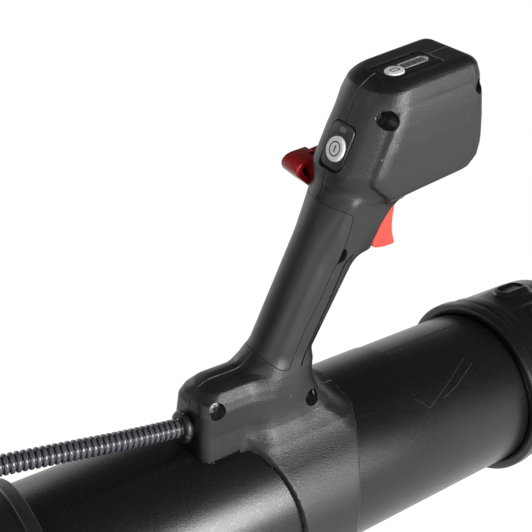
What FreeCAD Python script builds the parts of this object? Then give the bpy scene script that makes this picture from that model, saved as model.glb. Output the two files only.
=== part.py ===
# Battery backpack leaf blower, in millimetres.
# +X points forward along the blower tube, +Y to the wearer's left, +Z up.
# The origin lies on the floor under the middle of the pack.
import FreeCAD, Part
import math
import operator
import os
from types import SimpleNamespace

import Sketcher

V = FreeCAD.Vector
Rotation = FreeCAD.Rotation
X_AXIS = V(1, 0, 0)
Y_AXIS = V(0, 1, 0)
Z_AXIS = V(0, 0, 1)

# Every size that can be set by itself, in millimetres, degrees and counts
SIZES = {
    # blower tube
    "pipe_dia": 100.0,
    "pipe_wall": 2.0,
    "sleeve_gap": 0.3,
    "face_gap": 0.3,
    "tube_out": 230.0,
    "tube_height": 150.0,
    "swivel_pipe_start": 388.0,
    "collar_mouth": 712.5,
    "spigot_depth": 46.0,
    "collar_wall": 4.2,
    "collar_lip": 7.0,
    "lip_length": 6.0,
    "collar_length": 78.0,
    "extension_end": 1010.0,
    "nozzle_end": 1330.0,
    "nozzle_tip_dia": 84.0,
    "tip_ring": 3.0,
    "tip_straight": 16.0,
    "boss_height": 4.0,
    "boss_length": 26.0,
    "boss_width": 22.0,
    # flexible hose
    "elbow_bend": 80.0,
    "elbow_wall": 3.0,
    "elbow_spigot_end": 112.0,
    "hose_start": 88.0,
    "hose_middle": 260.0,
    "hose_end": 411.0,
    "hose_wall": 1.6,
    "rib_height": 7.0,
    "rib_pitch": 10.5,
    "cuff_length": 26.0,
    "cuff_wall": 4.0,
    "clamp_width": 12.0,
    "clamp_thickness": 1.6,
    "band_width": 20.0,
    "clip_out": 12.0,
    "clip_up": 68.4,
    # handle
    "handle_x": 560.0,
    "handle_wall": 2.6,
    "parting_gap": 0.2,
    "head_tilt": 8.5,
    "rear_face_lean": 20.5,
    "rubber_thickness": 1.0,
    "band_thickness": 3.6,
    "handle_screw_head": 7.6,
    "handle_screw_shank": 3.6,
    "handle_recess_dia": 9.4,
    "trigger_width": 16.0,
    "trigger_gap": 0.6,
    "trigger_pin_dia": 4.0,
    "trigger_pin_reach": 8.0,
    "lever_pin_dia": 5.0,
    "lever_pin_length": 13.0,
    "lever_thickness": 4.6,
    "paddle_width": 10.6,
    "head_half_width": 24.0,
    "pin_clearance": 0.08,
    "power_button_dia": 12.7,
    "check_button_dia": 10.0,
    "button_gap": 0.35,
    "button_depth": 4.0,
    "button_stands": 1.0,
    "panel_thickness": 1.6,
    # cable conduit
    "conduit_dia": 10.0,
    "conduit_rib": 0.9,
    "conduit_pitch": 3.0,
    "gland_dia": 17.0,
    "gland_length": 12.0,
    # fan
    "fan_x": -5.0,
    "housing_depth": 108.0,
    "housing_wall": 3.0,
    "scroll_start": 113.0,
    "scroll_growth": 21.0,
    "outlet_face": 118.0,
    "duct_end": 150.0,
    "impeller_dia": 208.0,
    "impeller_width": 44.0,
    "impeller_eye": 128.0,
    "blade_count": 11,
    "blade_thickness": 2.2,
    "inlet_dia": 132.0,
    "shaft_dia": 10.0,
    "bearing_dia": 22.0,
    "bearing_width": 7.0,
    "stator_dia": 60.0,
    "rotor_gap": 0.8,
    "rotor_wall": 3.5,
    # pack
    "plate_front": 92.0,
    "plate_thickness": 7.0,
    "plate_depth": 34.0,
    "plate_width": 300.0,
    "plate_top": 545.0,
    "plate_corner": 45.0,
    "tray_length": 270.0,
    "tray_bottom": 16.0,
    "tray_thickness": 12.0,
    "foot_dia": 40.0,
    "mount_dia": 30.0,
    "case_bottom": 376.0,
    "case_shelf": 12.0,
    "case_depth": 84.0,
    "case_height": 150.0,
    "case_wall": 3.0,
    "battery_width": 112.0,
    "battery_depth": 74.0,
    "battery_height": 158.0,
    "battery_spacing": 136.0,
    "release_width": 34.0,
    "controller_width": 180.0,
    "controller_length": 118.0,
    "controller_height": 46.0,
    "fin_count": 15,
    "fin_depth": 19.0,
    "carry_grip_dia": 22.0,
    "carry_grip_span": 148.0,
    "carry_grip_height": 46.0,
    # harness
    "pad_thickness": 22.0,
    "pad_width": 236.0,
    "pad_bottom": 236.0,
    "pad_top": 480.0,
    "strap_width": 62.0,
    "strap_thickness": 12.0,
    "strap_spacing": 180.0,
    "belt_height": 84.0,
    "belt_thickness": 12.0,
}


class Size:
    """A number together with the words that work it out from the sheet."""

    def __init__(self, number, words):
        self.number = float(number)
        self.words = words

    def __float__(self):
        return self.number

    def __neg__(self):
        return Size(-self.number, f"(-1 * {self.words})")

    def __add__(self, other):
        return joined(self, "+", other)

    def __radd__(self, other):
        return joined(other, "+", self)

    def __sub__(self, other):
        return joined(self, "-", other)

    def __rsub__(self, other):
        return joined(other, "-", self)

    def __mul__(self, other):
        return joined(self, "*", other)

    def __rmul__(self, other):
        return joined(other, "*", self)

    def __truediv__(self, other):
        return joined(self, "/", other)


SIGNS = {"+": operator.add, "-": operator.sub, "*": operator.mul, "/": operator.truediv}


def as_size(value):
    if isinstance(value, Size):
        return value
    return Size(value, repr(float(value)))


def joined(left, sign, right):
    left = as_size(left)
    right = as_size(right)
    return Size(SIGNS[sign](left.number, right.number), f"({left.words} {sign} {right.words})")


doc = FreeCAD.newDocument("leaf_blower")
sheet = doc.addObject("Spreadsheet::Sheet", "sizes")
for row, (alias, number) in enumerate(SIZES.items(), 1):
    sheet.set(f"A{row}", alias)
    sheet.set(f"B{row}", str(number))
    sheet.setAlias(f"B{row}", alias)
doc.recompute()
size = SimpleNamespace(**{alias: Size(sheet.get(alias), f"sizes.{alias}") for alias in SIZES})
sub_parts = []


def bind(thing, prop, value):
    """Ties one property to the sheet."""
    thing.setExpression(prop, as_size(value).words)


def place(thing, at=(0, 0, 0), turn=None):
    """Sets a sub-part's turn and ties its position to the sheet."""
    thing.Placement = FreeCAD.Placement(V(*[float(value) for value in at]), turn or Rotation())
    for letter, value in zip("xyz", at):
        bind(thing, f"Placement.Base.{letter}", value)


def new_body(label):
    body = doc.addObject("PartDesign::Body", label)
    body.Label = label
    sub_parts.append(body)
    return body


def add_sketch(body, plane, name):
    """An empty sketch on one of the body's own planes."""
    sketch = body.newObject("Sketcher::SketchObject", name)
    flat = next(item for item in body.Origin.OriginFeatures if item.Role == plane)
    sketch.AttachmentSupport = (flat, [""])
    sketch.MapMode = "FlatFace"
    return sketch


def tie_point(sketch, index, end, point):
    """Holds one end of a line, or the middle of a circle, at a place from the sheet."""
    for kind, value in zip(("DistanceX", "DistanceY"), point):
        number = sketch.addConstraint(Sketcher.Constraint(kind, -1, 1, index, end, float(value)))
        bind(sketch, f"Constraints[{number}]", value)


def draw_outline(sketch, points):
    """A closed outline of straight edges whose corners all follow the sheet."""
    first = sketch.GeometryCount
    flat = [V(float(x), float(y), 0) for x, y in points]
    count = len(flat)
    for number in range(count):
        sketch.addGeometry(Part.LineSegment(flat[number], flat[(number + 1) % count]), False)
    for number in range(count):
        following = first + (number + 1) % count
        sketch.addConstraint(Sketcher.Constraint("Coincident", first + number, 2, following, 1))
    for number, point in enumerate(points):
        tie_point(sketch, first + number, 1, point)


def draw_circle(sketch, middle, radius):
    """A circle whose middle and radius follow the sheet."""
    place_at = V(float(middle[0]), float(middle[1]), 0)
    index = sketch.addGeometry(Part.Circle(place_at, Z_AXIS, float(radius)), False)
    tie_point(sketch, index, 3, middle)
    number = sketch.addConstraint(Sketcher.Constraint("Radius", index, float(radius)))
    bind(sketch, f"Constraints[{number}]", radius)


def add_pad(body, sketch, length, name):
    """Thickens a sketch evenly to both sides of its plane."""
    pad = body.newObject("PartDesign::Pad", name)
    pad.Profile = sketch
    pad.SideType = "Symmetric"
    bind(pad, "Length", length)
    return pad


def add_fillet(body, feature, direction, radius, name):
    """Rounds every straight edge of a feature that runs along a direction."""
    doc.recompute()
    names = []
    for number, edge in enumerate(feature.Shape.Edges, 1):
        if edge.Curve.TypeId == "Part::GeomLine" and edge.Curve.Direction.cross(direction).Length < 1e-6:
            names.append(f"Edge{number}")
    fillet = body.newObject("PartDesign::Fillet", name)
    fillet.Base = (feature, names)
    bind(fillet, "Radius", radius)
    return fillet


def turned(label, profile, at, turn=None):
    """A round piece: its profile of (along, radius) points turned about its own X axis."""
    body = new_body(label)
    sketch = add_sketch(body, "XZ_Plane", f"{label}_profile")
    draw_outline(sketch, profile)
    spin = body.newObject("PartDesign::Revolution", f"{label}_turn")
    spin.Profile = sketch
    spin.ReferenceAxis = (sketch, ["H_Axis"])
    spin.Angle = 360
    place(body, at, turn)
    return body


def plate(label, plane, points, thickness, at, turn=None, holes=(), corner=None):
    """A flat piece: an outline with round holes, thickened evenly about its plane."""
    body = new_body(label)
    sketch = add_sketch(body, plane, f"{label}_outline")
    draw_outline(sketch, points)
    for middle, radius in holes:
        draw_circle(sketch, middle, radius)
    last = add_pad(body, sketch, thickness, f"{label}_pad")
    if corner is not None:
        normal = {"XY_Plane": Z_AXIS, "XZ_Plane": Y_AXIS, "YZ_Plane": X_AXIS}[plane]
        last = add_fillet(body, last, normal, corner, f"{label}_corners")
    place(body, at, turn)
    return body, last


def rectangle(width, height, x_middle=0, y_middle=0):
    """The four corners of a rectangle about a middle."""
    half_x = width / 2
    half_y = height / 2
    return (
        (x_middle - half_x, y_middle - half_y),
        (x_middle + half_x, y_middle - half_y),
        (x_middle + half_x, y_middle + half_y),
        (x_middle - half_x, y_middle + half_y),
    )


def formed(label, shape, at=(0, 0, 0), turn=None):
    """A piece whose form no single feature makes."""
    piece = doc.addObject("Part::Feature", label)
    piece.Label = label
    piece.Shape = shape
    place(piece, at, turn)
    sub_parts.append(piece)
    return piece


ALONG_Y = Rotation(Z_AXIS, 90)

tube_y = -size.tube_out
tube_z = size.tube_height
on_tube = (0, tube_y, tube_z)
pipe_r = size.pipe_dia / 2
pipe_bore = pipe_r - size.pipe_wall
sleeve_r = pipe_r + size.sleeve_gap


def cylinder(radius, low, high, middle=(0, 0), axis="x"):
    """A solid cylinder along one axis, between two places on that axis."""
    radius, low, high = float(radius), float(low), float(high)
    first, second = [float(value) for value in middle]
    if axis == "x":
        return Part.makeCylinder(radius, high - low, V(low, first, second), X_AXIS)
    if axis == "y":
        return Part.makeCylinder(radius, high - low, V(first, low, second), Y_AXIS)
    return Part.makeCylinder(radius, high - low, V(first, second, low), Z_AXIS)


def block(low, high):
    """A solid box between two corners."""
    low = V(*[float(value) for value in low])
    high = V(*[float(value) for value in high])
    return Part.makeBox(high.x - low.x, high.y - low.y, high.z - low.z, low)


def slab(points, low_y, high_y):
    """An outline of (x, z) points made solid between two values of y."""
    corners = [V(float(x), float(low_y), float(z)) for x, z in points]
    face = Part.Face(Part.makePolygon(corners + corners[:1]))
    return face.extrude(V(0, float(high_y) - float(low_y), 0))


# Swivel pipe: the straight pipe that carries the handle, open at both ends


def make_swivel_pipe():
    start = size.swivel_pipe_start
    end = size.collar_mouth + size.spigot_depth
    profile = ((start, pipe_bore), (end, pipe_bore), (end, pipe_r), (start, pipe_r))
    turned("swivel_pipe", profile, on_tube)


# Pipes with a bayonet collar: a wide mouth over the spigot of the pipe behind, then the pipe itself


def collar_profile(mouth, pipe_end, end_bore, end_r):
    """Half section of a pipe whose collar takes a spigot at its mouth."""
    seat = mouth + size.spigot_depth + size.face_gap
    shoulder = mouth + size.collar_length
    collar_r = sleeve_r + size.collar_wall
    lip_r = sleeve_r + size.collar_lip
    lip_end = mouth + size.lip_length
    return (
        (mouth, sleeve_r),
        (seat, sleeve_r),
        (seat + 4, pipe_bore),
        (shoulder, pipe_bore),
        (pipe_end, end_bore),
        (pipe_end, end_r),
        (shoulder, pipe_r),
        (shoulder - 5, collar_r),
        (lip_end + 1, collar_r),
        (lip_end, lip_r),
        (mouth, lip_r),
    )


def add_bosses(body, mouth, label):
    """Three raised bayonet bosses spaced evenly round a collar."""
    collar_r = sleeve_r + size.collar_wall
    sketch = add_sketch(body, "XY_Plane", f"{label}_boss")
    middle = mouth + size.lip_length + size.boss_length / 2 + 10
    draw_outline(sketch, rectangle(size.boss_length, size.boss_width, middle, 0))
    boss = body.newObject("PartDesign::Pad", f"{label}_boss_pad")
    boss.Profile = sketch
    bind(boss, "Length", collar_r + size.boss_height)
    doc.recompute()
    pattern = body.newObject("PartDesign::PolarPattern", f"{label}_bosses")
    pattern.Originals = [boss]
    pattern.Axis = (sketch, ["H_Axis"])
    pattern.Angle = 360
    pattern.Occurrences = 3
    body.Tip = pattern
    bore_sketch = add_sketch(body, "XZ_Plane", f"{label}_bore")
    seat = mouth + size.spigot_depth + size.face_gap
    bore = ((mouth, 0), (seat, 0), (seat, sleeve_r), (mouth, sleeve_r))
    draw_outline(bore_sketch, bore)
    groove = body.newObject("PartDesign::Groove", f"{label}_bore_cut")
    groove.Profile = bore_sketch
    groove.ReferenceAxis = (bore_sketch, ["H_Axis"])
    groove.Angle = 360
    body.Tip = groove


def make_extension_pipe():
    profile = collar_profile(size.collar_mouth, size.extension_end, pipe_bore, pipe_r)
    body = turned("extension_pipe", profile, on_tube)
    add_bosses(body, size.collar_mouth, "extension")


def make_nozzle():
    mouth = size.extension_end - size.spigot_depth
    tip_r = size.nozzle_tip_dia / 2
    ring_start = size.nozzle_end - 8
    tip_bore = tip_r - size.pipe_wall
    profile = list(collar_profile(mouth, size.nozzle_end, tip_bore, tip_r + size.tip_ring))
    profile.insert(4, (size.nozzle_end - size.tip_straight, tip_bore))
    profile.insert(7, (ring_start, tip_r + size.tip_ring))
    profile.insert(8, (ring_start - 2, tip_r))
    body = turned("nozzle", profile, on_tube)
    add_bosses(body, mouth, "nozzle")


# Flexible hose: two runs of ribbed rubber either side of the middle band


def circle_wire(radius, along, middle=(0, 0)):
    """A circle square to X, whose own X axis keeps one direction."""
    ring = Part.Circle(V(0, 0, 0), Z_AXIS, float(radius))
    wire = Part.Wire([ring.toShape()])
    wire.Placement = FreeCAD.Placement(V(float(along), *middle), Rotation(Y_AXIS, Z_AXIS, X_AXIS, "ZXY"))
    return wire


def ribbed_run(low, high, count, valley_r, crest_r):
    """Circles of a run of equal ribs along X, four to a rib."""
    pitch = (high - low) / count
    wires = []
    for number in range(count):
        start = low + number * pitch
        wires.append(circle_wire(valley_r, start))
        wires.append(circle_wire(valley_r, start + 0.22 * pitch))
        wires.append(circle_wire(crest_r, start + 0.45 * pitch))
        wires.append(circle_wire(crest_r, start + 0.77 * pitch))
    wires.append(circle_wire(valley_r, high))
    return wires


def hose_run(low, high, cuff_at_low):
    """One run of hose from its plain cuff to its neck under the middle band."""
    low, high = float(low), float(high)
    cuff = float(size.cuff_length)
    neck = float(size.band_width) / 2
    wall = float(size.hose_wall)
    valley = float(sleeve_r) + wall
    crest = valley + float(size.rib_height)
    cuff_r = float(sleeve_r + size.cuff_wall)
    rib_low = low + cuff if cuff_at_low else low + neck
    rib_high = high - neck if cuff_at_low else high - cuff
    count = max(2, round((rib_high - rib_low) / float(size.rib_pitch)))
    solids = []
    for inset in (0.0, wall):
        wires = ribbed_run(rib_low, rib_high, count, valley - inset, crest - inset)
        solids.append(Part.makeLoft(wires, True, True))
    cuff_ends = (low, rib_low) if cuff_at_low else (rib_high, high)
    neck_ends = (rib_high, high) if cuff_at_low else (low, rib_low)
    outside = solids[0].fuse([cylinder(cuff_r, *cuff_ends), cylinder(valley, *neck_ends)])
    inside = solids[1].fuse([cylinder(sleeve_r, *cuff_ends), cylinder(valley - wall, *neck_ends)])
    return outside.cut(inside)


def make_hose():
    middle = float(size.hose_middle)
    half_gap = float(size.face_gap) / 2
    formed("hose_rear", hose_run(size.hose_start, middle - half_gap, True), on_tube)
    formed("hose_front", hose_run(middle + half_gap, size.hose_end, False), on_tube)


def clamp_ring(inner_r, middle, width):
    """A steel band with two tightening ears on its outer side, and the screw through them."""
    inner_r, middle, width = float(inner_r), float(middle), float(width)
    thick = float(size.clamp_thickness)
    low = middle - width / 2
    high = middle + width / 2
    band = cylinder(inner_r + thick, low, high)
    ears = block((low, -inner_r - 15, -4 - thick), (high, -inner_r, 4 + thick))
    slot = block((low - 1, -inner_r - 20, -4), (high + 1, -inner_r + 6, 4))
    band = band.fuse(ears).cut(cylinder(inner_r, low - 1, high + 1)).cut(slot)
    screw_at = (middle, -inner_r - 9)
    band = band.cut(cylinder(2.6, -20, 20, screw_at, "z"))
    shank = cylinder(2.5, -7, 7, screw_at, "z")
    head = cylinder(4.2, 4 + thick, 8 + thick, screw_at, "z")
    nut = cylinder(4.2, -8 - thick, -4 - thick, screw_at, "z")
    return Part.makeCompound([band, shank.fuse([head, nut])])


def make_clamps():
    cuff_r = sleeve_r + size.cuff_wall
    formed("rear_hose_clamp", clamp_ring(cuff_r, size.hose_start + 12, size.clamp_width), on_tube)
    formed("front_hose_clamp", clamp_ring(cuff_r, size.hose_end - 13, size.clamp_width), on_tube)


def make_middle_band():
    """A moulded ring round the hose's necks, with the clip that the conduit passes through."""
    middle = float(size.hose_middle)
    low = middle - float(size.band_width) / 2 + 1
    high = middle + float(size.band_width) / 2 - 1
    inner = float(sleeve_r + size.hose_wall)
    clip_at = (float(size.clip_out), float(size.clip_up))
    clip_r = float(size.conduit_dia) / 2 + 2.8
    bridge = block((low, clip_at[0] - clip_r, 0), (high, clip_at[0] + clip_r, clip_at[1]))
    band = cylinder(inner + 3, low, high).fuse([bridge, cylinder(clip_r, low, high, clip_at)])
    hole = float(size.conduit_dia / 2 + size.face_gap)
    band = band.cut([cylinder(inner, low - 1, high + 1), cylinder(hole, low - 1, high + 1, clip_at)])
    formed("hose_middle_band", band, on_tube)


# Outlet elbow: turns the air from the fan's outlet to the blower tube


def make_elbow():
    radius = float(pipe_r)
    bend = float(size.elbow_bend)
    side = float(tube_y)
    height = float(tube_z)
    fan_x = float(size.fan_x)
    inlet_y = -float(size.outlet_face)
    half = math.sqrt(0.5)
    bend_start = V(fan_x, side + bend, height)
    bend_middle = V(fan_x + bend * (1 - half), side + bend * (1 - half), height)
    bend_end = V(fan_x + bend, side, height)
    path = Part.Wire(
        [
            Part.LineSegment(V(fan_x, inlet_y, height), bend_start).toShape(),
            Part.Arc(bend_start, bend_middle, bend_end).toShape(),
            Part.LineSegment(bend_end, V(float(size.elbow_spigot_end), side, height)).toShape(),
        ]
    )
    skins = []
    for ring_r in (radius, radius - float(size.elbow_wall)):
        ring = Part.Wire([Part.makeCircle(ring_r, V(fan_x, inlet_y, height), V(0, -1, 0))])
        skins.append(path.makePipeShell([ring], True, False))
    flange_y = -float(size.duct_end)
    flange = cylinder(radius + 9, flange_y - 6, flange_y, (fan_x, height), "y")
    formed("outlet_elbow", skins[0].fuse(flange).cut(skins[1]))


# Cable conduit: ribbed tube from the handle's gland, through the clip on the hose, to the pack's gland

CONDUIT_FRONT = (
    (500.0, -230.0, 211.8),
    (468.0, -229.8, 216.9),
    (430.0, -227.0, 223.2),
    (392.0, -222.5, 227.5),
    (352.0, -219.0, 227.0),
    (316.0, -218.0, 222.5),
    (288.0, -218.0, 218.8),
    (260.0, -218.0, 218.4),
)
CONDUIT_REAR = (
    (259.7, -218.0, 218.4),
    (232.0, -218.0, 218.6),
    (204.0, -218.0, 221.0),
    (174.0, -218.0, 226.5),
    (145.0, -217.8, 233.0),
    (116.0, -217.0, 240.0),
    (90.0, -202.0, 245.5),
    (75.0, -176.0, 249.0),
    (75.0, -146.0, 249.0),
)
# The handle's gland leans with the conduit's first run and holds this much of it
GLAND_TILT = 9.0
GLAND_GRIP = 8.2
# A gland's rims, the draw-in of its neck between them, and the room kept for it inside the heel
GLAND_RIM = 3.0
GLAND_NECK_DRAW = 1.6
GLAND_ROOM = 14.0


def route_wire(points, label=None):
    """Straight runs joined by tangent arcs, each as large as its two runs allow."""
    places = [V(*point) for point in points]
    edges = []
    radii = []
    here = places[0]
    for before, corner, after in zip(places, places[1:], places[2:]):
        back = before - corner
        ahead = after - corner
        reach = 0.45 * min(back.Length, ahead.Length)
        back.normalize()
        ahead.normalize()
        half_turn = (math.pi - back.getAngle(ahead)) / 2
        radius = reach / math.tan(half_turn)
        towards = (back + ahead).normalize()
        arc_middle = corner + towards * (radius / math.cos(half_turn) - radius)
        edges.append(Part.LineSegment(here, corner + back * reach).toShape())
        edges.append(Part.Arc(corner + back * reach, arc_middle, corner + ahead * reach).toShape())
        radii.append(radius)
        here = corner + ahead * reach
    edges.append(Part.LineSegment(here, places[-1]).toShape())
    if label:
        print(label, "radii", [round(radius) for radius in radii])
    return Part.Wire(edges)


def stations(wire, places):
    """The point and the direction of a wire at each of several lengths along it."""
    found = []
    edges = list(wire.OrderedEdges)
    done = 0.0
    for place_along in places:
        while place_along > done + edges[0].Length and len(edges) > 1:
            done += edges.pop(0).Length
        at = edges[0].getParameterByLength(min(place_along - done, edges[0].Length))
        found.append((edges[0].valueAt(at), edges[0].tangentAt(at)))
    return found


def ribbed_tube(points, label):
    """A tube with equal ribs along a route: four circles to a rib, all turned the same way."""
    wire = route_wire(points, label)
    crest = float(size.conduit_dia) / 2
    valley = crest - float(size.conduit_rib)
    count = round(wire.Length / float(size.conduit_pitch))
    pitch = wire.Length / count
    shares = ((0.0, valley), (0.2, valley), (0.4, crest), (0.8, crest))
    lengths = [(number + share) * pitch for number in range(count) for share, _ in shares]
    radii = [radius for _ in range(count) for _, radius in shares]
    wires = []
    for (point, direction), radius in zip(stations(wire, lengths + [wire.Length]), radii + [valley]):
        ring = Part.Wire([Part.Circle(V(0, 0, 0), Z_AXIS, radius).toShape()])
        sideways = Z_AXIS.cross(direction)
        turn = Rotation(sideways, direction.cross(sideways), direction, "ZXY")
        ring.Placement = FreeCAD.Placement(point, turn)
        wires.append(ring)
    tube = Part.makeLoft(wires, True, True)
    print(label, "ribs", count, "length", round(wire.Length, 1), "volume", round(tube.Volume))
    formed(label, tube)


def make_conduit():
    ribbed_tube(CONDUIT_FRONT, "conduit_front")
    ribbed_tube(CONDUIT_REAR, "conduit_rear")


def heel_gland_place():
    """Where the handle's gland starts, a little behind the heel's rear wall."""
    x, y, z = CONDUIT_FRONT[0]
    lean = math.radians(GLAND_TILT)
    return (x - GLAND_GRIP * math.cos(lean), y, z + GLAND_GRIP * math.sin(lean))


def make_glands():
    """Round glands with a rim, one on the handle's heel and one on the pack's right rim."""
    gland_r = size.gland_dia / 2
    hole = size.conduit_dia / 2 + size.face_gap
    length = size.gland_length
    profile = (
        (0, hole),
        (length, hole),
        (length, gland_r),
        (length - GLAND_RIM, gland_r),
        (length - GLAND_RIM, gland_r - GLAND_NECK_DRAW),
        (GLAND_RIM, gland_r - GLAND_NECK_DRAW),
        (GLAND_RIM, gland_r),
        (0, gland_r),
    )
    turned("handle_gland", profile, heel_gland_place(), Rotation(Y_AXIS, GLAND_TILT))
    exit_y = -size.plate_width / 2 - length - size.face_gap
    turned("pack_gland", profile, (CONDUIT_REAR[-1][0], exit_y, CONDUIT_REAR[-1][2]), ALONG_Y)


# Handle: two moulded shells in the handle's own frame, x from the middle of its band, z from the pipe's axis

# Each form is a stack of level sections: height, rear, front, half width, rear corner, front corner
HEAD_SECTIONS = (
    (-3.0, 24.0, 86.0, 22.0, 20.0, 6.0),
    (0.0, 22.0, 91.5, 23.0, 20.0, 6.0),
    (5.0, 18.0, 95.5, 24.0, 20.0, 6.0),
    (11.0, 14.8, 97.2, 24.0, 20.0, 6.0),
    (15.4, 15.4, 97.5, 24.0, 19.0, 6.0),
    (36.0, 26.8, 97.5, 24.0, 19.0, 6.0),
    (42.1, 30.2, 97.5, 22.8, 18.0, 6.0),
    (48.0, 33.4, 97.2, 21.0, 17.0, 6.0),
    (52.0, 36.8, 96.5, 19.5, 15.0, 6.0),
    (55.8, 42.5, 95.0, 18.0, 13.0, 6.0),
)
HEAD_FOOT = 170.0
GRIP_SECTIONS = (
    (64.0, -37.2, -2.0, 13.7, 13.2, 13.2),
    (94.0, -24.6, 9.8, 13.9, 13.4, 13.4),
    (130.0, -9.4, 27.2, 14.2, 13.7, 13.7),
    (172.5, 8.5, 48.0, 14.6, 14.0, 14.0),
    (188.0, 13.6, 52.0, 14.8, 14.2, 14.2),
)
NOSE_SECTIONS = (
    (141.0, 8.0, 36.0, 11.0, 6.0, 5.0),
    (144.0, 8.0, 38.5, 13.0, 6.0, 5.0),
    (150.0, 9.0, 40.5, 14.0, 6.0, 6.0),
    (158.0, 10.0, 43.0, 15.0, 6.0, 6.0),
    (166.0, 12.0, 48.0, 16.5, 6.0, 6.0),
    (176.0, 15.0, 58.0, 19.5, 6.0, 6.0),
)
HEEL_SECTIONS = (
    (40.0, -63.5, 0.0, 17.8, 9.0, 9.0),
    (54.0, -63.5, 0.0, 16.4, 9.0, 9.0),
    (62.0, -63.3, 0.0, 15.2, 9.0, 9.0),
    (75.0, -62.5, 0.0, 14.8, 9.0, 9.0),
    (80.0, -61.0, -2.0, 13.2, 9.0, 9.0),
    (84.5, -57.5, -6.0, 10.2, 9.0, 9.0),
    (87.0, -53.0, -10.0, 6.5, 6.0, 6.0),
)
SADDLE_SECTIONS = (
    (36.0, -32.0, 29.0, 33.0, 10.0, 10.0),
    (50.0, -33.0, 27.0, 26.0, 10.0, 10.0),
    (58.0, -31.0, 18.0, 20.0, 10.0, 10.0),
    (66.0, -30.0, 12.0, 17.0, 10.0, 10.0),
    (76.0, -29.0, 9.0, 14.5, 10.0, 10.0),
    (88.0, -26.0, 8.0, 13.5, 10.0, 10.0),
)
BAND_OUTLINE = (
    (-36.0, 60.0),
    (-36.0, 48.0),
    (-32.8, 46.3),
    (-28.0, 38.7),
    (-26.0, 30.0),
    (-24.0, 0.0),
    (-15.0, -62.0),
    (6.0, -62.0),
    (9.0, 0.0),
    (13.0, 17.7),
    (18.7, 33.2),
    (22.9, 40.3),
    (27.8, 46.2),
    (31.4, 52.0),
    (31.4, 60.0),
)
# Screws that hold the two shells: x, z, depth of the recess floor from the middle
HANDLE_SCREWS = (
    (31.4, 216.0, 12.0),
    (84.6, 221.4, 12.0),
    (13.6, 146.8, 7.0),
    (-54.1, 77.2, 6.0),
    (2.9, 65.6, 9.0),
)
TRIGGER_OUTLINE = (
    (45.0, 178.0),
    (56.0, 178.0),
    (55.5, 161.0),
    (54.7, 150.3),
    (57.2, 141.0),
    (54.0, 138.5),
    (44.0, 139.5),
    (41.5, 146.0),
    (41.0, 160.0),
)
TRIGGER_PIVOT = (50.0, 172.0)
LEVER_OUTLINE = (
    (52.0, 190.0),
    (53.0, 199.0),
    (47.0, 205.0),
    (38.0, 204.0),
    (24.0, 189.5),
    (11.0, 187.5),
    (11.0, 173.0),
    (19.0, 171.0),
    (44.0, 186.0),
)
# Paddle of the lever for the thumb, and the hollow moulded into it
PADDLE_OUTLINE = (
    (20.6, 188.8),
    (12.5, 187.8),
    (9.4, 185.8),
    (8.4, 182.8),
    (9.6, 179.4),
    (17.5, 171.6),
    (20.0, 170.6),
    (20.9, 171.0),
)
PADDLE_HOLLOW = ((25.0, 184.0), (13.6, 183.4), (13.4, 181.4), (20.0, 175.2), (25.0, 177.0))
LEVER_PIVOT = (44.0, 196.0)
POWER_BUTTON_AT = (16.9, 198.0)
CHECK_PANEL_AT = (55.0, 234.64)
CHECK_BUTTON_BACK = 8.5
RUBBER_OUTLINE = (
    (-45.0, 97.0),
    (-24.8, 94.6),
    (-21.1, 91.4),
    (-16.3, 88.2),
    (-12.6, 88.0),
    (-10.0, 90.5),
    (-7.3, 97.4),
    (4.7, 123.5),
    (12.0, 140.4),
    (15.8, 152.0),
    (17.9, 162.0),
    (18.4, 166.4),
    (17.1, 169.6),
    (13.8, 171.0),
    (8.5, 172.5),
    (-30.0, 176.0),
)
SWITCH_FOOT = 186.0
handle_at = (size.handle_x, tube_y, tube_z)


def rounded_section(height, low_x, high_x, half_width, low_corner, high_corner):
    """A level rectangle with round corners, as four lines and four arcs."""
    corners = (
        (high_x, half_width, -high_corner, -high_corner),
        (low_x, half_width, low_corner, -low_corner),
        (low_x, -half_width, low_corner, low_corner),
        (high_x, -half_width, -high_corner, high_corner),
    )
    inner = 1 - math.sqrt(0.5)
    edges = []
    before = None
    for number, (x, y, to_x, to_y) in enumerate(corners):
        along_x = V(x + to_x, y, height)
        along_y = V(x, y + to_y, height)
        start, end = (along_y, along_x) if number % 2 == 0 else (along_x, along_y)
        if before is not None:
            edges.append(Part.LineSegment(before, start).toShape())
        else:
            first = start
        edges.append(Part.Arc(start, V(x + to_x * inner, y + to_y * inner, height), end).toShape())
        before = end
    edges.append(Part.LineSegment(before, first).toShape())
    return Part.Wire(edges)


def section_at(sections, height):
    """The section of a stack at any height between its rows."""
    for below, above in zip(sections, sections[1:]):
        if height <= above[0]:
            share = (height - below[0]) / (above[0] - below[0])
            return tuple(low + share * (high - low) for low, high in zip(below, above))
    return sections[-1]


# How a round edge draws in near the end of a stack: share of its height, share of its depth
EASING = ((0.0, 1.0), (0.13, 0.5), (0.5, 0.13), (1.0, 0.0))


def stacked(sections, inset, edge=0.0):
    """A solid through level sections, drawn in by an inset; its two ends have round edges or sharp ones."""
    low = sections[0][0] + inset
    high = sections[-1][0] - inset
    easing = EASING if edge else EASING[-1:]
    rows = [(low + edge * share, edge * draw) for share, draw in easing]
    rows += [(row[0], 0.0) for row in sections if low + edge + 0.5 < row[0] < high - edge - 0.5]
    rows += [(high - edge * share, edge * draw) for share, draw in reversed(easing)]
    wires = []
    for height, draw in rows:
        _, rear, front, half, rear_corner, front_corner = section_at(sections, height)
        draw += inset
        half -= draw
        corners = [min(max(corner - draw, 1.5), half - 0.2) for corner in (rear_corner, front_corner)]
        wires.append(rounded_section(height, rear + draw, front - draw, half, *corners))
    return Part.makeLoft(wires, True, True)


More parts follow.
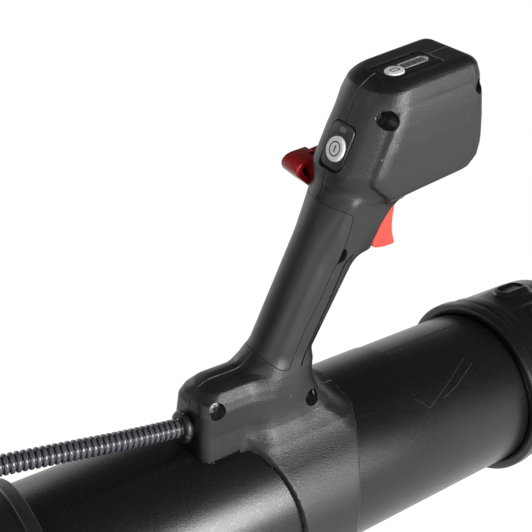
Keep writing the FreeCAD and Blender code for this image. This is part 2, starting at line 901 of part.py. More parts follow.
def placed_head(inset):
    head = stacked(HEAD_SECTIONS, inset, 0.0 if inset else 4.0)
    head.Placement = FreeCAD.Placement(V(0, 0, HEAD_FOOT), Rotation(Y_AXIS, -float(size.head_tilt)))
    return head


def handle_form(inset):
    """The handle without its band, drawn in by an inset."""
    head = placed_head(inset)
    edge = 0.0 if inset else 2.0
    lower = (GRIP_SECTIONS, NOSE_SECTIONS, HEEL_SECTIONS, SADDLE_SECTIONS)
    return head.fuse([stacked(sections, inset, edge) for sections in lower])


def handle_band():
    """The band that wraps round the pipe, and the lug that its lower screw pulls together."""
    outer = float(sleeve_r + size.band_thickness)
    ring = cylinder(outer, -80, 80).common(slab(BAND_OUTLINE, -80, 80))
    lug = block((-13, -7, -outer - 9), (6, 7, -outer + 2))
    return ring.fuse(lug)


def lug_screw_place():
    outer = float(sleeve_r + size.band_thickness)
    return (-4.0, -outer - 4.5, 4.0)


def screw_places():
    return HANDLE_SCREWS + (lug_screw_place(),)


def facing(shape, place_xz, lean):
    """Turns a shape drawn at the origin and sets it on a sloping face of the head."""
    shape.Placement = FreeCAD.Placement(V(place_xz[0], 0, place_xz[1]), Rotation(Y_AXIS, lean))
    return shape


def make_handle_shells():
    wall = float(size.handle_wall)
    half_gap = float(size.parting_gap) / 2
    outside = handle_form(0).fuse(handle_band())
    bosses = []
    holes = []
    recess_r = float(size.handle_recess_dia) / 2
    shank_r = float(size.handle_screw_shank) / 2 + 0.1
    for x, z, floor in screw_places():
        bosses.append(cylinder(recess_r + 3.4, -30, 12, (x, z), "y"))
        holes.append(cylinder(recess_r, -60, -floor, (x, z), "y"))
        holes.append(cylinder(shank_r, -floor - 1, 9.5, (x, z), "y"))
    skin = outside.cut([cylinder(sleeve_r, -120, 120), handle_form(wall)])
    posts = Part.makeCompound(bosses).common(outside).cut(cylinder(sleeve_r, -120, 120))
    skin = skin.fuse(posts.Solids)
    trigger_half = float(size.trigger_width / 2 + size.trigger_gap)
    holes.append(block((30, -trigger_half, 134), (70, trigger_half, 182)))
    pin_reach = float(size.trigger_width / 2 + size.trigger_pin_reach)
    panel = float(size.panel_thickness)
    gap = float(size.button_gap)
    deep = float(size.button_depth)
    holes.append(facing(block((-6, -8, -14), (panel, 8, 14)), POWER_BUTTON_AT, float(size.rear_face_lean)))
    holes.append(facing(block((-15, -9, -panel), (15, 9, 6)), CHECK_PANEL_AT, -float(size.head_tilt)))
    power = cylinder(float(size.power_button_dia) / 2 + gap, -5, panel + 6)
    holes.append(facing(power, POWER_BUTTON_AT, float(size.rear_face_lean)))
    check = cylinder(float(size.check_button_dia) / 2 + gap, -deep - 4, 5, (-CHECK_BUTTON_BACK, 0), "z")
    holes.append(facing(check, CHECK_PANEL_AT, -float(size.head_tilt)))
    lever_hole = cylinder(float(size.lever_pin_dia / 2 + size.pin_clearance), 10, 40, LEVER_PIVOT, "y")
    holes.append(lever_hole)
    gland_x, _, gland_z = heel_gland_place()
    gland_at = (gland_x - float(size.handle_x), gland_z - float(tube_z))
    gland_r = float(size.gland_dia) / 2
    neck_r = gland_r - GLAND_NECK_DRAW + 0.08
    holes.append(facing(cylinder(neck_r, 2, GLAND_ROOM), gland_at, GLAND_TILT))
    rim_at = float(size.gland_length) - GLAND_RIM
    holes.append(facing(cylinder(gland_r + 0.4, rim_at - 0.05, GLAND_ROOM), gland_at, GLAND_TILT))
    trigger_pin = float(size.trigger_pin_dia / 2) + 0.05
    seats = [cylinder(trigger_pin + 3, -24, 24, TRIGGER_PIVOT, "y")]
    slope = -float(size.head_tilt)
    for side in (-1, 1):
        near, far = sorted((side * 9.5, side * 24.0))
        seats.append(facing(block((-10, near, -12), (20, far, -9.03)), CHECK_PANEL_AT, slope))
        near, far = sorted((side * 8.03, side * 24.0))
        for low_x in (65, 81):
            seats.append(block((low_x, near, SWITCH_FOOT), (low_x + 4, far, SWITCH_FOOT + 12)))
    seats = Part.makeCompound(seats).common(outside)
    seats = seats.cut(block((30, -trigger_half, 134), (62, trigger_half, 182)))
    skin = skin.fuse(seats.Solids)
    holes.append(cylinder(trigger_pin, -pin_reach, pin_reach, TRIGGER_PIVOT, "y"))
    bed = grip_layer(-0.6, float(size.rubber_thickness) + 0.02)
    bed = bed.cut(forms_round_grip())
    skin = skin.cut(holes + [bed])
    right = skin.common(block((-150, -80, -80), (150, -half_gap, 260)))
    left = skin.common(block((-150, half_gap, -80), (150, 80, 260)))
    formed("handle_right_shell", largest(right), handle_at)
    formed("handle_left_shell", largest(left), handle_at)


def largest(shape):
    """The main solid of a shape, without loose slivers."""
    return max(shape.Solids, key=lambda solid: solid.Volume)


def grip_layer(high, low):
    """The layer of the grip between two depths, inside the rubber's outline."""
    layer = stacked(GRIP_SECTIONS, high).common(slab(RUBBER_OUTLINE, -40, 40))
    return layer.cut(stacked(GRIP_SECTIONS, low))


def forms_round_grip():
    """The handle's other forms, which the rubber stops at."""
    others = [stacked(rows, 0.0, 2.0) for rows in (NOSE_SECTIONS, HEEL_SECTIONS, SADDLE_SECTIONS)]
    return [placed_head(0.0)] + others


def make_rubber_grip():
    skin = grip_layer(0.0, float(size.rubber_thickness)).cut(forms_round_grip())
    formed("rubber_grip", largest(skin), handle_at)


def make_handle_screws():
    """Pan head screws that pull the right shell against the left one, and one through the band's lug."""
    head_r = float(size.handle_screw_head) / 2
    shank_r = float(size.handle_screw_shank) / 2
    screws = []
    for x, z, floor in screw_places():
        head = cylinder(head_r, -floor - 2.6, -floor, (x, z), "y")
        slot = block((x - 2.4, -floor - 3, z - 0.5), (x + 2.4, -floor - 1.2, z + 0.5))
        cross = block((x - 0.5, -floor - 3, z - 2.4), (x + 0.5, -floor - 1.2, z + 2.4))
        screws.append(head.fuse(cylinder(shank_r, -floor, 9, (x, z), "y")).cut([slot, cross]))
    formed("handle_screws", Part.makeCompound(screws), handle_at)


def make_trigger():
    hole = size.trigger_pin_dia / 2 + size.pin_clearance
    holes = ((TRIGGER_PIVOT, hole),)
    body, last = plate("trigger", "XZ_Plane", TRIGGER_OUTLINE, size.trigger_width, handle_at, holes=holes)
    last = add_fillet(body, last, Y_AXIS, 1.2, "trigger_edges")
    reach = size.trigger_width / 2 + size.trigger_pin_reach - 0.1
    pin_r = size.trigger_pin_dia / 2
    pin = ((-reach, 0), (reach, 0), (reach, pin_r), (-reach, pin_r))
    at = (size.handle_x + TRIGGER_PIVOT[0], tube_y, tube_z + TRIGGER_PIVOT[1])
    turned("trigger_pin", pin, at, ALONG_Y)
    leaf = (
        (43.9, 177.2),
        (44.6, 177.2),
        (40.6, 165.0),
        (33.0, 176.0),
        (32.6, 175.5),
        (40.6, 164.0),
    )
    plate("trigger_spring", "XZ_Plane", leaf, 6, handle_at)


def make_lever():
    """A side blade that turns on its pin, with a paddle for the thumb."""
    inner = size.head_half_width + size.face_gap
    middle = inner + size.lever_thickness / 2
    holes = ((LEVER_PIVOT, size.lever_pin_dia / 2 + 0.02),)
    at = (size.handle_x, tube_y + middle, tube_z)
    body, last = plate("cruise_lever", "XZ_Plane", LEVER_OUTLINE, size.lever_thickness, at, holes=holes)
    paddle = add_sketch(body, "XZ_Plane", "cruise_lever_paddle")
    draw_outline(paddle, PADDLE_OUTLINE)
    add_pad(body, paddle, size.paddle_width, "cruise_lever_paddle_pad")
    hollow = add_sketch(body, "XZ_Plane", "cruise_lever_hollow")
    draw_outline(hollow, PADDLE_HOLLOW)
    pocket = body.newObject("PartDesign::Pocket", "cruise_lever_hollow_cut")
    pocket.Profile = hollow
    pocket.Reversed = False
    bind(pocket, "Length", size.paddle_width)
    pin_r = size.lever_pin_dia / 2
    reach = size.lever_pin_length
    at = (size.handle_x + LEVER_PIVOT[0], tube_y + middle + size.lever_thickness / 2, tube_z + LEVER_PIVOT[1])
    turned("lever_pin", ((-reach, 0), (0, 0), (0, pin_r), (-reach, pin_r)), at, ALONG_Y)


def on_rear_face(inwards, up=0.0):
    """A place on the head's rear face: inwards from the face, and up along it."""
    lean = math.radians(float(size.rear_face_lean))
    x = POWER_BUTTON_AT[0] + inwards * math.cos(lean) + up * math.sin(lean)
    z = POWER_BUTTON_AT[1] - inwards * math.sin(lean) + up * math.cos(lean)
    return (size.handle_x + x, tube_y, tube_z + z)


def on_top_face(forward, outwards=0.0):
    """A place on the head's top face: forward along it, and outwards from it."""
    slope = math.radians(float(size.head_tilt))
    x = CHECK_PANEL_AT[0] + forward * math.cos(slope) - outwards * math.sin(slope)
    z = CHECK_PANEL_AT[1] + forward * math.sin(slope) + outwards * math.cos(slope)
    return (size.handle_x + x, tube_y, tube_z + z)


def make_panels():
    rear_turn = Rotation(Y_AXIS, float(size.rear_face_lean))
    top_turn = Rotation(Y_AXIS, -float(size.head_tilt))
    thick = size.panel_thickness
    power_hole = (((0, 0), size.power_button_dia / 2 + size.button_gap),)
    power_panel = rectangle(15.6, 27.6)
    at = on_rear_face(float(thick) / 2 - 0.3)
    plate("power_panel", "YZ_Plane", power_panel, thick - 0.2, at, rear_turn, power_hole, 3)
    check_hole = (((-CHECK_BUTTON_BACK, 0), size.check_button_dia / 2 + size.button_gap),)
    check_panel = rectangle(29.6, 17.6)
    at = on_top_face(0, 0.3 - float(thick) / 2)
    plate("check_panel", "XY_Plane", check_panel, thick - 0.2, at, top_turn, check_hole, 2.5)
    power_r = size.power_button_dia / 2
    stands = size.button_stands
    depth = size.button_depth
    profile = ((-stands, 0), (depth, 0), (depth, power_r), (0.6 - stands, power_r), (-stands, power_r - 0.6))
    turned("power_button", profile, on_rear_face(0), rear_turn)
    check_r = size.check_button_dia / 2
    profile = ((-depth, 0), (stands, 0), (stands, check_r - 0.5), (stands - 0.5, check_r), (-depth, check_r))
    top_turn = Rotation(Y_AXIS, -90 - float(size.head_tilt))
    turned("check_button", profile, on_top_face(-CHECK_BUTTON_BACK), top_turn)


def make_handle_inside():
    """The indicator board under the check panel and the switch that the trigger works."""
    top_turn = Rotation(Y_AXIS, -float(size.head_tilt))
    board = block((-16, -11, -9), (26, 11, -7.4))
    chips = [block((2, -7, -7.4), (10, 3, -5.2)), block((14, -6, -7.4), (22, 6, -5.8))]
    formed("handle_board", board.fuse(chips), on_top_face(0), top_turn)
    switch = block((62, -8, SWITCH_FOOT), (88, 8, SWITCH_FOOT + 20))
    plunger = block((58, -3, SWITCH_FOOT - 10), (60, 3, SWITCH_FOOT + 6))
    neck = block((60, -3, SWITCH_FOOT + 2), (62, 3, SWITCH_FOOT + 6))
    switch = switch.fuse([plunger, neck])
    formed("trigger_switch", switch, handle_at)


# Fan housing: a scroll split square to the fan's shaft, with a round outlet towards the elbow


fan_z = tube_z + size.scroll_start + size.scroll_growth - size.housing_depth / 2


def scroll_face(inset, x):
    """The scroll's outline at a place on X: four growing quarter arcs and the outlet's square end."""
    start_r = float(size.scroll_start) - inset
    growth = float(size.scroll_growth)
    middle_z = float(fan_z)

    def at(turn):
        reach = start_r + growth * turn / 270
        angle = math.radians(turn)
        return V(x, -reach * math.cos(angle), middle_z + reach * math.sin(angle))

    edges = []
    for turn in (0, 90, 180):
        edges.append(Part.Arc(at(turn), at(turn + 45), at(turn + 90)).toShape())
    bottom = at(270)
    outlet_y = -float(size.outlet_face) + (inset if inset else 0)
    roof_z = float(tube_z) + float(size.housing_depth) / 2 - inset
    corners = [bottom, V(x, outlet_y, bottom.z), V(x, outlet_y, roof_z), at(0)]
    for first, second in zip(corners, corners[1:]):
        edges.append(Part.LineSegment(first, second).toShape())
    return Part.Face(Part.Wire(edges))


LUG_TURNS = (20, 75, 130, 185, 240)


def lug_place(turn):
    reach = float(size.scroll_start + size.scroll_growth * turn / 270) + 5
    angle = math.radians(turn)
    return (-reach * math.cos(angle), float(fan_z) + reach * math.sin(angle))


def make_fan_housing():
    depth = float(size.housing_depth)
    wall = float(size.housing_wall)
    fan_x = float(size.fan_x)
    rear = fan_x - depth / 2
    outside = scroll_face(0, rear).extrude(V(depth, 0, 0))
    inside = scroll_face(wall, rear + wall).extrude(V(depth - 2 * wall, 0, 0))
    duct_at = (fan_x, float(tube_z))
    duct_y = -float(size.duct_end)
    duct = cylinder(float(sleeve_r) + wall, duct_y, -100, duct_at, "y")
    lugs = [cylinder(8, fan_x - 9, fan_x + 9, lug_place(turn)) for turn in LUG_TURNS]
    holes = [cylinder(2.6, fan_x - 10, fan_x + 10, lug_place(turn)) for turn in LUG_TURNS]
    shell = outside.fuse([duct] + lugs).cut([inside, cylinder(sleeve_r, duct_y - 1, -90, duct_at, "y")] + holes)
    middle = (0, float(fan_z))
    inlet = cylinder(float(size.inlet_dia) / 2, rear - 1, rear + wall + 1, middle)
    motor = cylinder(float(size.bearing_dia) / 2 + 8, fan_x, fan_x + depth, middle)
    shell = shell.cut([inlet, motor])
    formed("fan_housing_front", largest(shell.common(block((fan_x, -400, -100), (400, 400, 700)))))
    formed("fan_housing_rear", largest(shell.common(block((-400, -400, -100), (fan_x, 400, 700)))))
    screws = []
    for turn in LUG_TURNS:
        at = lug_place(turn)
        screws.append(cylinder(2.5, fan_x - 9, fan_x + 8, at).fuse(cylinder(4.4, fan_x - 12, fan_x - 9, at)))
    formed("housing_screws", Part.makeCompound(screws))


def make_intake_grille():
    """A round guard of rings and spokes over the fan's inlet."""
    rear = float(size.fan_x) - float(size.housing_depth) / 2
    inlet_r = float(size.inlet_dia) / 2
    middle = (0, float(fan_z))
    rim = cylinder(inlet_r + 12, rear - 4, rear, middle)
    rings = [rim.cut(cylinder(inlet_r + 1, rear - 5, rear + 1, middle))]
    for radius in range(22, int(inlet_r), 10):
        ring = cylinder(radius + 1.3, rear - 7, rear - 3, middle)
        rings.append(ring.cut(cylinder(radius - 1.3, rear - 8, rear, middle)))
    rings.append(cylinder(14, rear - 8, rear - 3, middle))
    spokes = []
    for number in range(8):
        spoke = block((rear - 6, 10, -1.8), (rear - 2.5, inlet_r + 6, 1.8))
        spoke.rotate(V(0, 0, 0), X_AXIS, number * 45)
        spoke.translate(V(0, 0, middle[1]))
        spokes.append(spoke)
    formed("intake_grille", rings[0].fuse(rings[1:] + spokes))


# Fan and motor, on one shaft along X


def make_impeller():
    outer = size.impeller_dia / 2
    hub_rear = size.fan_x - 5
    shaft_bore = size.shaft_dia / 2 + 0.02
    profile = (
        (hub_rear - 8, shaft_bore),
        (hub_rear + 3, shaft_bore),
        (hub_rear + 3, outer),
        (hub_rear, outer),
        (hub_rear, 24),
        (hub_rear - 8, 20),
    )
    body = turned("impeller", profile, (0, 0, fan_z))
    blade_start = float(size.impeller_eye) / 2 - 4
    blade_end = float(outer) - 1
    edge = float(size.blade_thickness) / 2
    sketch = add_sketch(body, "YZ_Plane", "impeller_blade")
    near = []
    far = []
    for share in (0.0, 0.33, 0.67, 1.0):
        reach = blade_start + (blade_end - blade_start) * share
        angle = math.radians(38 * share * (1.2 - 0.2 * share))
        across = edge / reach
        near.append((reach * math.cos(angle - across), reach * math.sin(angle - across)))
        far.append((reach * math.cos(angle + across), reach * math.sin(angle + across)))
    draw_outline(sketch, near + far[::-1])
    sketch.AttachmentOffset = FreeCAD.Placement(V(0, 0, float(hub_rear)), Rotation())
    bind(sketch, "AttachmentOffset.Base.z", hub_rear)
    blade = body.newObject("PartDesign::Pad", "impeller_blade_pad")
    blade.Profile = sketch
    blade.Reversed = True
    bind(blade, "Length", size.impeller_width)
    doc.recompute()
    pattern = body.newObject("PartDesign::PolarPattern", "impeller_blades")
    pattern.Originals = [blade]
    pattern.Axis = (body.Origin.OriginFeatures[0], [""])
    pattern.Angle = 360
    bind(pattern, "Occurrences", size.blade_count)
    body.Tip = pattern
    ring_sketch = add_sketch(body, "XZ_Plane", "impeller_ring")
    ring_front = hub_rear - size.impeller_width + 0.5
    eye_r = size.impeller_eye / 2
    ring = ((ring_front - 2.5, eye_r), (ring_front, eye_r), (ring_front, outer), (ring_front - 2.5, outer))
    draw_outline(ring_sketch, ring)
    spin = body.newObject("PartDesign::Revolution", "impeller_ring_turn")
    spin.Profile = ring_sketch
    spin.ReferenceAxis = (ring_sketch, ["H_Axis"])
    spin.Angle = 360
    body.Tip = spin


def make_motor():
    at = (0, 0, fan_z)
    front = size.fan_x + size.housing_depth / 2 - size.housing_wall
    shaft_r = size.shaft_dia / 2
    bearing_r = size.bearing_dia / 2
    tube_r = bearing_r + 2.4
    stator_r = size.stator_dia / 2
    hub_front = size.fan_x - 2
    cap = hub_front + 3
    tube_start = cap + 4
    mount = (
        (tube_start, bearing_r),
        (front, bearing_r),
        (front, stator_r + 10),
        (front - 3, stator_r + 10),
        (front - 3, tube_r),
        (tube_start, tube_r),
    )
    turned("motor_mount", mount, at)
    stator = (
        (tube_start + 4, tube_r + 0.05),
        (front - 6, tube_r + 0.05),
        (front - 6, stator_r),
        (tube_start + 4, stator_r),
    )
    turned("motor_stator", stator, at)
    bell_inner = stator_r + size.rotor_gap
    bell_outer = bell_inner + size.rotor_wall
    bell = (
        (hub_front, shaft_r + 0.02),
        (cap, shaft_r + 0.02),
        (cap, bell_inner),
        (front - 5, bell_inner),
        (front - 5, bell_outer),
        (hub_front, bell_outer),
    )
    turned("motor_rotor", bell, at)
    shaft_end = hub_front - 22
    turned("fan_shaft", ((shaft_end, 0), (front - 0.5, 0), (front - 0.5, shaft_r), (shaft_end, shaft_r)), at)
    nut_rear = hub_front - 19
    nut = ((nut_rear, shaft_r + 0.02), (nut_rear + 8, shaft_r + 0.02), (nut_rear + 8, 9), (nut_rear, 9))
    turned("fan_nut", nut, at)
    rings = []
    for low in (float(tube_start), float(front - size.bearing_width)):
        high = low + float(size.bearing_width)
        ring = cylinder(float(bearing_r) - 0.02, low, high)
        rings.append(ring.cut(cylinder(float(shaft_r + size.pin_clearance), low - 1, high + 1)))
    formed("motor_bearings", Part.makeCompound(rings), at)


# Pack: a back plate with a deep rim on a base tray, with the fan, controller and batteries behind it


def rounded_block(low, high, axis, corner):
    """A box whose edges along one axis are rounded."""
    solid = block(low, high)
    edges = [edge for edge in solid.Edges if abs(edge.Curve.Direction.dot(axis)) > 0.99]
    return solid.makeFillet(float(corner), edges)


tray_top = size.tray_bottom + size.tray_thickness
plate_rear = size.plate_front - size.plate_depth
MOUNT_PLACES = ((-78, 60), (78, 60), (-78, -62), (78, -62))


def make_back_plate():
    half = size.plate_width / 2
    wall = 4
    outer = rounded_block(
        (plate_rear, -half, tray_top), (size.plate_front, half, size.plate_top), X_AXIS, size.plate_corner
    )
    inner = rounded_block(
        (plate_rear - 1, wall - half, tray_top + wall),
        (size.plate_front - size.plate_thickness, half - wall, size.plate_top - wall),
        X_AXIS,
        size.plate_corner - wall,
    )
    gland_place = (CONDUIT_REAR[-1][0], CONDUIT_REAR[-1][2])
    gland_hole = cylinder(size.gland_dia / 2 - 1.8, -half - 1, wall + 1 - half, gland_place, "y")
    formed("back_plate", outer.cut([inner, gland_hole]))


def make_base():
    length = size.tray_length
    middle = size.plate_front - length / 2 + 53
    at = (middle, 0, size.tray_bottom + size.tray_thickness / 2)
    plate("base_tray", "XY_Plane", rectangle(length, size.plate_width), size.tray_thickness, at, corner=42)
    foot_r = size.foot_dia / 2
    feet = []
    out_x = length / 2 - foot_r - 12
    out_y = float(size.plate_width / 2 - foot_r - 12)
    places = [(0.0, 0.0)]
    for side_x in (-1, 1):
        for side_y in (-1, 1):
            places.append((float(middle + side_x * out_x), side_y * out_y))
    for at in places:
        foot = cylinder(foot_r, 0, size.tray_bottom, at, "z")
        feet.append(foot.makeFillet(3, [edge for edge in foot.Edges if edge.BoundBox.ZMax < 0.1]))
    formed("rubber_feet", Part.makeCompound(feet))


def make_vibration_mounts():
    """Rubber bushes that carry the fan housing on the back plate."""
    front = float(size.fan_x + size.housing_depth / 2)
    plate_inner = float(size.plate_front - size.plate_thickness)
    bushes = []
    for y, up in MOUNT_PLACES:
        at = (y, float(fan_z) + up)
        bush = cylinder(size.mount_dia / 2, front, plate_inner, at)
        waist = cylinder(size.mount_dia, front + 8, plate_inner - 8, at)
        core = cylinder(size.mount_dia / 2 - 4, front, plate_inner, at)
        bushes.append(bush.cut(waist).fuse(core))
    formed("vibration_mounts", Part.makeCompound(bushes))


def make_controller():
    half = size.controller_width / 2
    rear = -size.controller_length / 2 - 20
    front = size.controller_length / 2 - 20
    top = tray_top + size.controller_height
    formed("controller_case", rounded_block((rear, -half, tray_top), (front, half, top), Z_AXIS, 8))
    base = block((rear - 5, -half + 8, tray_top), (rear, half - 8, top - 4))
    step = float(size.controller_width - 22) / float(size.fin_count - 1)
    fins = []
    for number in range(int(float(size.fin_count))):
        y = -float(half) + 11 + number * step
        fins.append(block((rear - 5 - size.fin_depth, y - 1.1, tray_top), (rear - 5, y + 1.1, top - 4)))
    formed("controller_heat_sink", base.fuse(fins))


case_rear = plate_rear - size.case_depth
battery_front = case_rear - size.sleeve_gap
battery_rear = battery_front - size.battery_depth
case_top = size.case_bottom + size.case_height
RAIL_WIDTH = 40.0
RAIL_DEPTH = 7.0


def battery_middle(side):
    return side * size.battery_spacing / 2


def make_battery_case():
    half = size.plate_width / 2 - 2
    wall = size.case_wall
    box = rounded_block((case_rear, -half, size.case_bottom), (plate_rear, half, case_top), X_AXIS, 14)
    hollow = block(
        (case_rear + wall, wall - half + 12, size.case_bottom + wall),
        (plate_rear + 1, half - wall - 12, case_top - wall),
    )
    shelf_low = size.case_bottom - size.case_shelf
    shelf = rounded_block((battery_rear - 4, -half, shelf_low), (plate_rear, half, size.case_bottom), Z_AXIS, 14)
    parts = [shelf]
    for side in (-1, 1):
        middle = float(battery_middle(side))
        low = (case_rear - RAIL_DEPTH, middle - RAIL_WIDTH / 2, size.case_bottom)
        parts.append(block(low, (case_rear + 1, middle + RAIL_WIDTH / 2, case_top - 12)))
    formed("battery_case", box.fuse(parts).cut(hollow))


def make_batteries():
    gap = float(size.sleeve_gap)
    for side, name in ((-1, "right"), (1, "left")):
        middle = float(battery_middle(side))
        half = float(size.battery_width) / 2
        bottom = float(size.case_bottom) + gap
        top = bottom + float(size.battery_height)
        rear = float(battery_rear)
        front = float(battery_front)
        pack = rounded_block((rear, middle - half, bottom), (front, middle + half, top), Z_AXIS, 9)
        rail_half = RAIL_WIDTH / 2 + gap
        groove_top = float(case_top) - 11
        groove = block(
            (front - RAIL_DEPTH - gap, middle - rail_half, bottom - 1),
            (front + 1, middle + rail_half, groove_top),
        )
        release = float(size.release_width) / 2
        pocket = block((rear - 1, middle - release - gap, top - 32), (rear + 12, middle + release + gap, top - 12))
        formed(f"battery_{name}", pack.cut([groove, pocket]))
        low = (rear - 1.5, middle - release, top - 32 + gap)
        button = rounded_block(low, (rear + 7.5, middle + release, top - 12 - gap), X_AXIS, 3)
        formed(f"release_button_{name}", button)
    blocks = []
    for side in (-1, 1):
        middle = float(battery_middle(side))
        low = (float(case_rear) + float(size.case_wall), middle - 18, float(size.case_bottom + size.case_wall))
        blocks.append(block(low, (low[0] + 14, middle + 18, low[2] + 26)))
    formed("terminal_blocks", Part.makeCompound(blocks))


def swept(profile, points, label=None):
    """A closed profile carried along straight runs and tangent arcs."""
    return route_wire(points, label).makePipeShell([profile], True, False)


def make_carry_handle():
    grip_r = float(size.carry_grip_dia) / 2
    half = float(size.carry_grip_span) / 2
    x = float(case_rear + size.case_depth / 2)
    low = float(case_top)
    high = low + float(size.carry_grip_height)
    across = (-half, 4 - half, 34 - half, 0, half - 34, half - 4, half)
    heights = (low, low + 26, high, high + 3, high, low + 26, low)
    points = [(x, y, z) for y, z in zip(across, heights)]
    direction = V(*points[1]) - V(*points[0])
    ring = Part.Wire([Part.makeCircle(grip_r, V(*points[0]), direction)])
    tube = swept(ring, points)
    pad = grip_r + 5
    feet = [block((x - pad, y - pad, low), (x + pad, y + pad, low + 8)) for y in (-half, half)]
    below = block((x - 2 * pad, -2 * half, low - 60), (x + 2 * pad, 2 * half, low))
    formed("carry_handle", tube.fuse(feet).cut(below))


# Harness: padded pieces on the front of the back plate


def pad_section(x, shrink):
    """An upright rectangle with round corners, square to X."""
    half = float(size.pad_width) / 2 - shrink
    low = float(size.pad_bottom) + shrink
    high = float(size.pad_top) - shrink
    corner = 34.0 - shrink / 2
    flat = rounded_section(0, low, high, half, corner, corner)
    flat.Placement = FreeCAD.Placement(V(x, 0, 0), Rotation(Z_AXIS, Y_AXIS, V(-1, 0, 0), "XYZ"))
    return flat


def make_back_pad():
    """A crowned pad whose sides draw in, with two sewn channels across it."""
    start = float(size.plate_front + size.face_gap)
    thick = float(size.pad_thickness)
    levels = ((0.0, 7.0), (0.3, 1.0), (0.5, 0.0), (0.75, 4.0), (0.95, 16.0), (1.0, 30.0))
    pad = Part.makeLoft([pad_section(start + thick * share, shrink) for share, shrink in levels], True, False)
    span = float(size.pad_top) - float(size.pad_bottom)
    channels = []
    for share in (0.35, 0.65):
        height = float(size.pad_bottom) + span * share
        channels.append(cylinder(6, -200, 200, (start + thick + 2.5, height), "y"))
    formed("back_pad", pad.cut(channels))


def strap_face(points, thick, half_width, side_y):
    """A flat strap's end, square to its first run in the XZ plane."""
    start = V(points[0][0], side_y, points[0][2])
    direction = (V(*points[1]) - V(*points[0])).normalize()
    across = direction.cross(Y_AXIS)
    corners = []
    for up, side in ((1, 1), (1, -1), (-1, -1), (-1, 1)):
        corners.append(start + across * (up * thick / 2) + Y_AXIS * (side * half_width))
    return Part.makePolygon(corners + corners[:1])


STRAP_ROUTE = (
    (98.0, 506.0),
    (124.0, 535.0),
    (172.0, 541.0),
    (216.0, 502.0),
    (238.0, 440.0),
    (240.0, 382.0),
    (230.0, 330.0),
)
WEBBING_ROUTE = ((233.0, 342.0), (222.0, 296.0), (190.0, 256.0), (146.0, 228.0), (98.0, 214.0))


def make_shoulder_straps():
    for side, name in ((-1, "right"), (1, "left")):
        y = side * float(size.strap_spacing) / 2
        padded_points = [(x, y, z) for x, z in STRAP_ROUTE]
        webbing_points = [(x, y, z) for x, z in WEBBING_ROUTE]
        half_width = float(size.strap_width) / 2
        strap = swept(strap_face(padded_points, float(size.strap_thickness), half_width, y), padded_points)
        webbing = swept(strap_face(webbing_points, 3.0, half_width / 2, y), webbing_points)
        front = float(size.plate_front + size.face_gap)
        anchors = [
            block((front, y - 22, STRAP_ROUTE[0][1] - 14), (front + 10, y + 22, STRAP_ROUTE[0][1] + 10)),
            block((front, y - 22, WEBBING_ROUTE[-1][1] - 10), (front + 8, y + 22, WEBBING_ROUTE[-1][1] + 10)),
        ]
        formed(f"shoulder_strap_{name}", strap.fuse([webbing] + anchors))


BELT_ROUTE = ((98.6, 62.0), (112.0, 112.0), (146.0, 142.0), (196.0, 150.0), (244.0, 140.0), (280.0, 116.0))


def make_waist_belts():
    """Padded wings either side, each ending in webbing with its half of the buckle."""
    middle_z = 152.0
    for side, name in ((-1, "right"), (1, "left")):
        points = [(x, side * y, middle_z) for x, y in BELT_ROUTE]
        start = V(*points[0])
        direction = (V(*points[1]) - start).normalize()
        across = direction.cross(Z_AXIS)
        corners = []
        for out, up in ((1, 1), (1, -1), (-1, -1), (-1, 1)):
            thick = float(size.belt_thickness) / 2
            corners.append(start + across * (out * thick) + Z_AXIS * (up * float(size.belt_height) / 2))
        wing = swept(Part.makePolygon(corners + corners[:1]), points)
        end = V(*points[-1])
        ahead = (end - V(*points[-2])).normalize()
        formed(f"waist_belt_{name}", wing)
        clasp = Part.makeBox(46, 8, 40, V(0, -4, -20))
        clasp = clasp.makeFillet(2.5, clasp.Edges)
        lead = Rotation(ahead, Z_AXIS.cross(ahead), Z_AXIS, "XZY")
        formed(f"belt_clasp_{name}", clasp, tuple(end + ahead * 0.4), lead)


def check_and_write():
    """Stops on any failed feature or bad solid, then writes every sub-part."""
    doc.recompute()
    for thing in doc.Objects:
        if "Invalid" in thing.State or "Error" in thing.State:
            raise RuntimeError(f"{thing.Label} failed: {thing.State}")
    os.makedirs("parts", exist_ok=True)
    for piece in sub_parts:
        if piece.Shape.isNull() or not piece.Shape.isValid() or not piece.Shape.Solids:
            raise RuntimeError(f"{piece.Label} has no good solid")
    for piece in sub_parts:
        piece.Shape.exportStep(f"parts/{piece.Label}.step")
    print(len(sub_parts), "sub-parts written")


make_swivel_pipe()
make_extension_pipe()
make_nozzle()
make_hose()
make_clamps()
make_middle_band()
make_elbow()
make_conduit()
make_glands()
make_handle_shells()
make_rubber_grip()
make_handle_screws()
make_trigger()
make_lever()
make_panels()
make_handle_inside()
make_fan_housing()
make_intake_grille()
make_impeller()
make_motor()
make_back_plate()
make_base()
make_vibration_mounts()
make_controller()
make_battery_case()
make_batteries()
make_carry_handle()
make_back_pad()
make_shoulder_straps()
make_waist_belts()
check_and_write()
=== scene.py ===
import math

import bmesh
import bpy
import numpy as np
from mathutils import Matrix, Vector


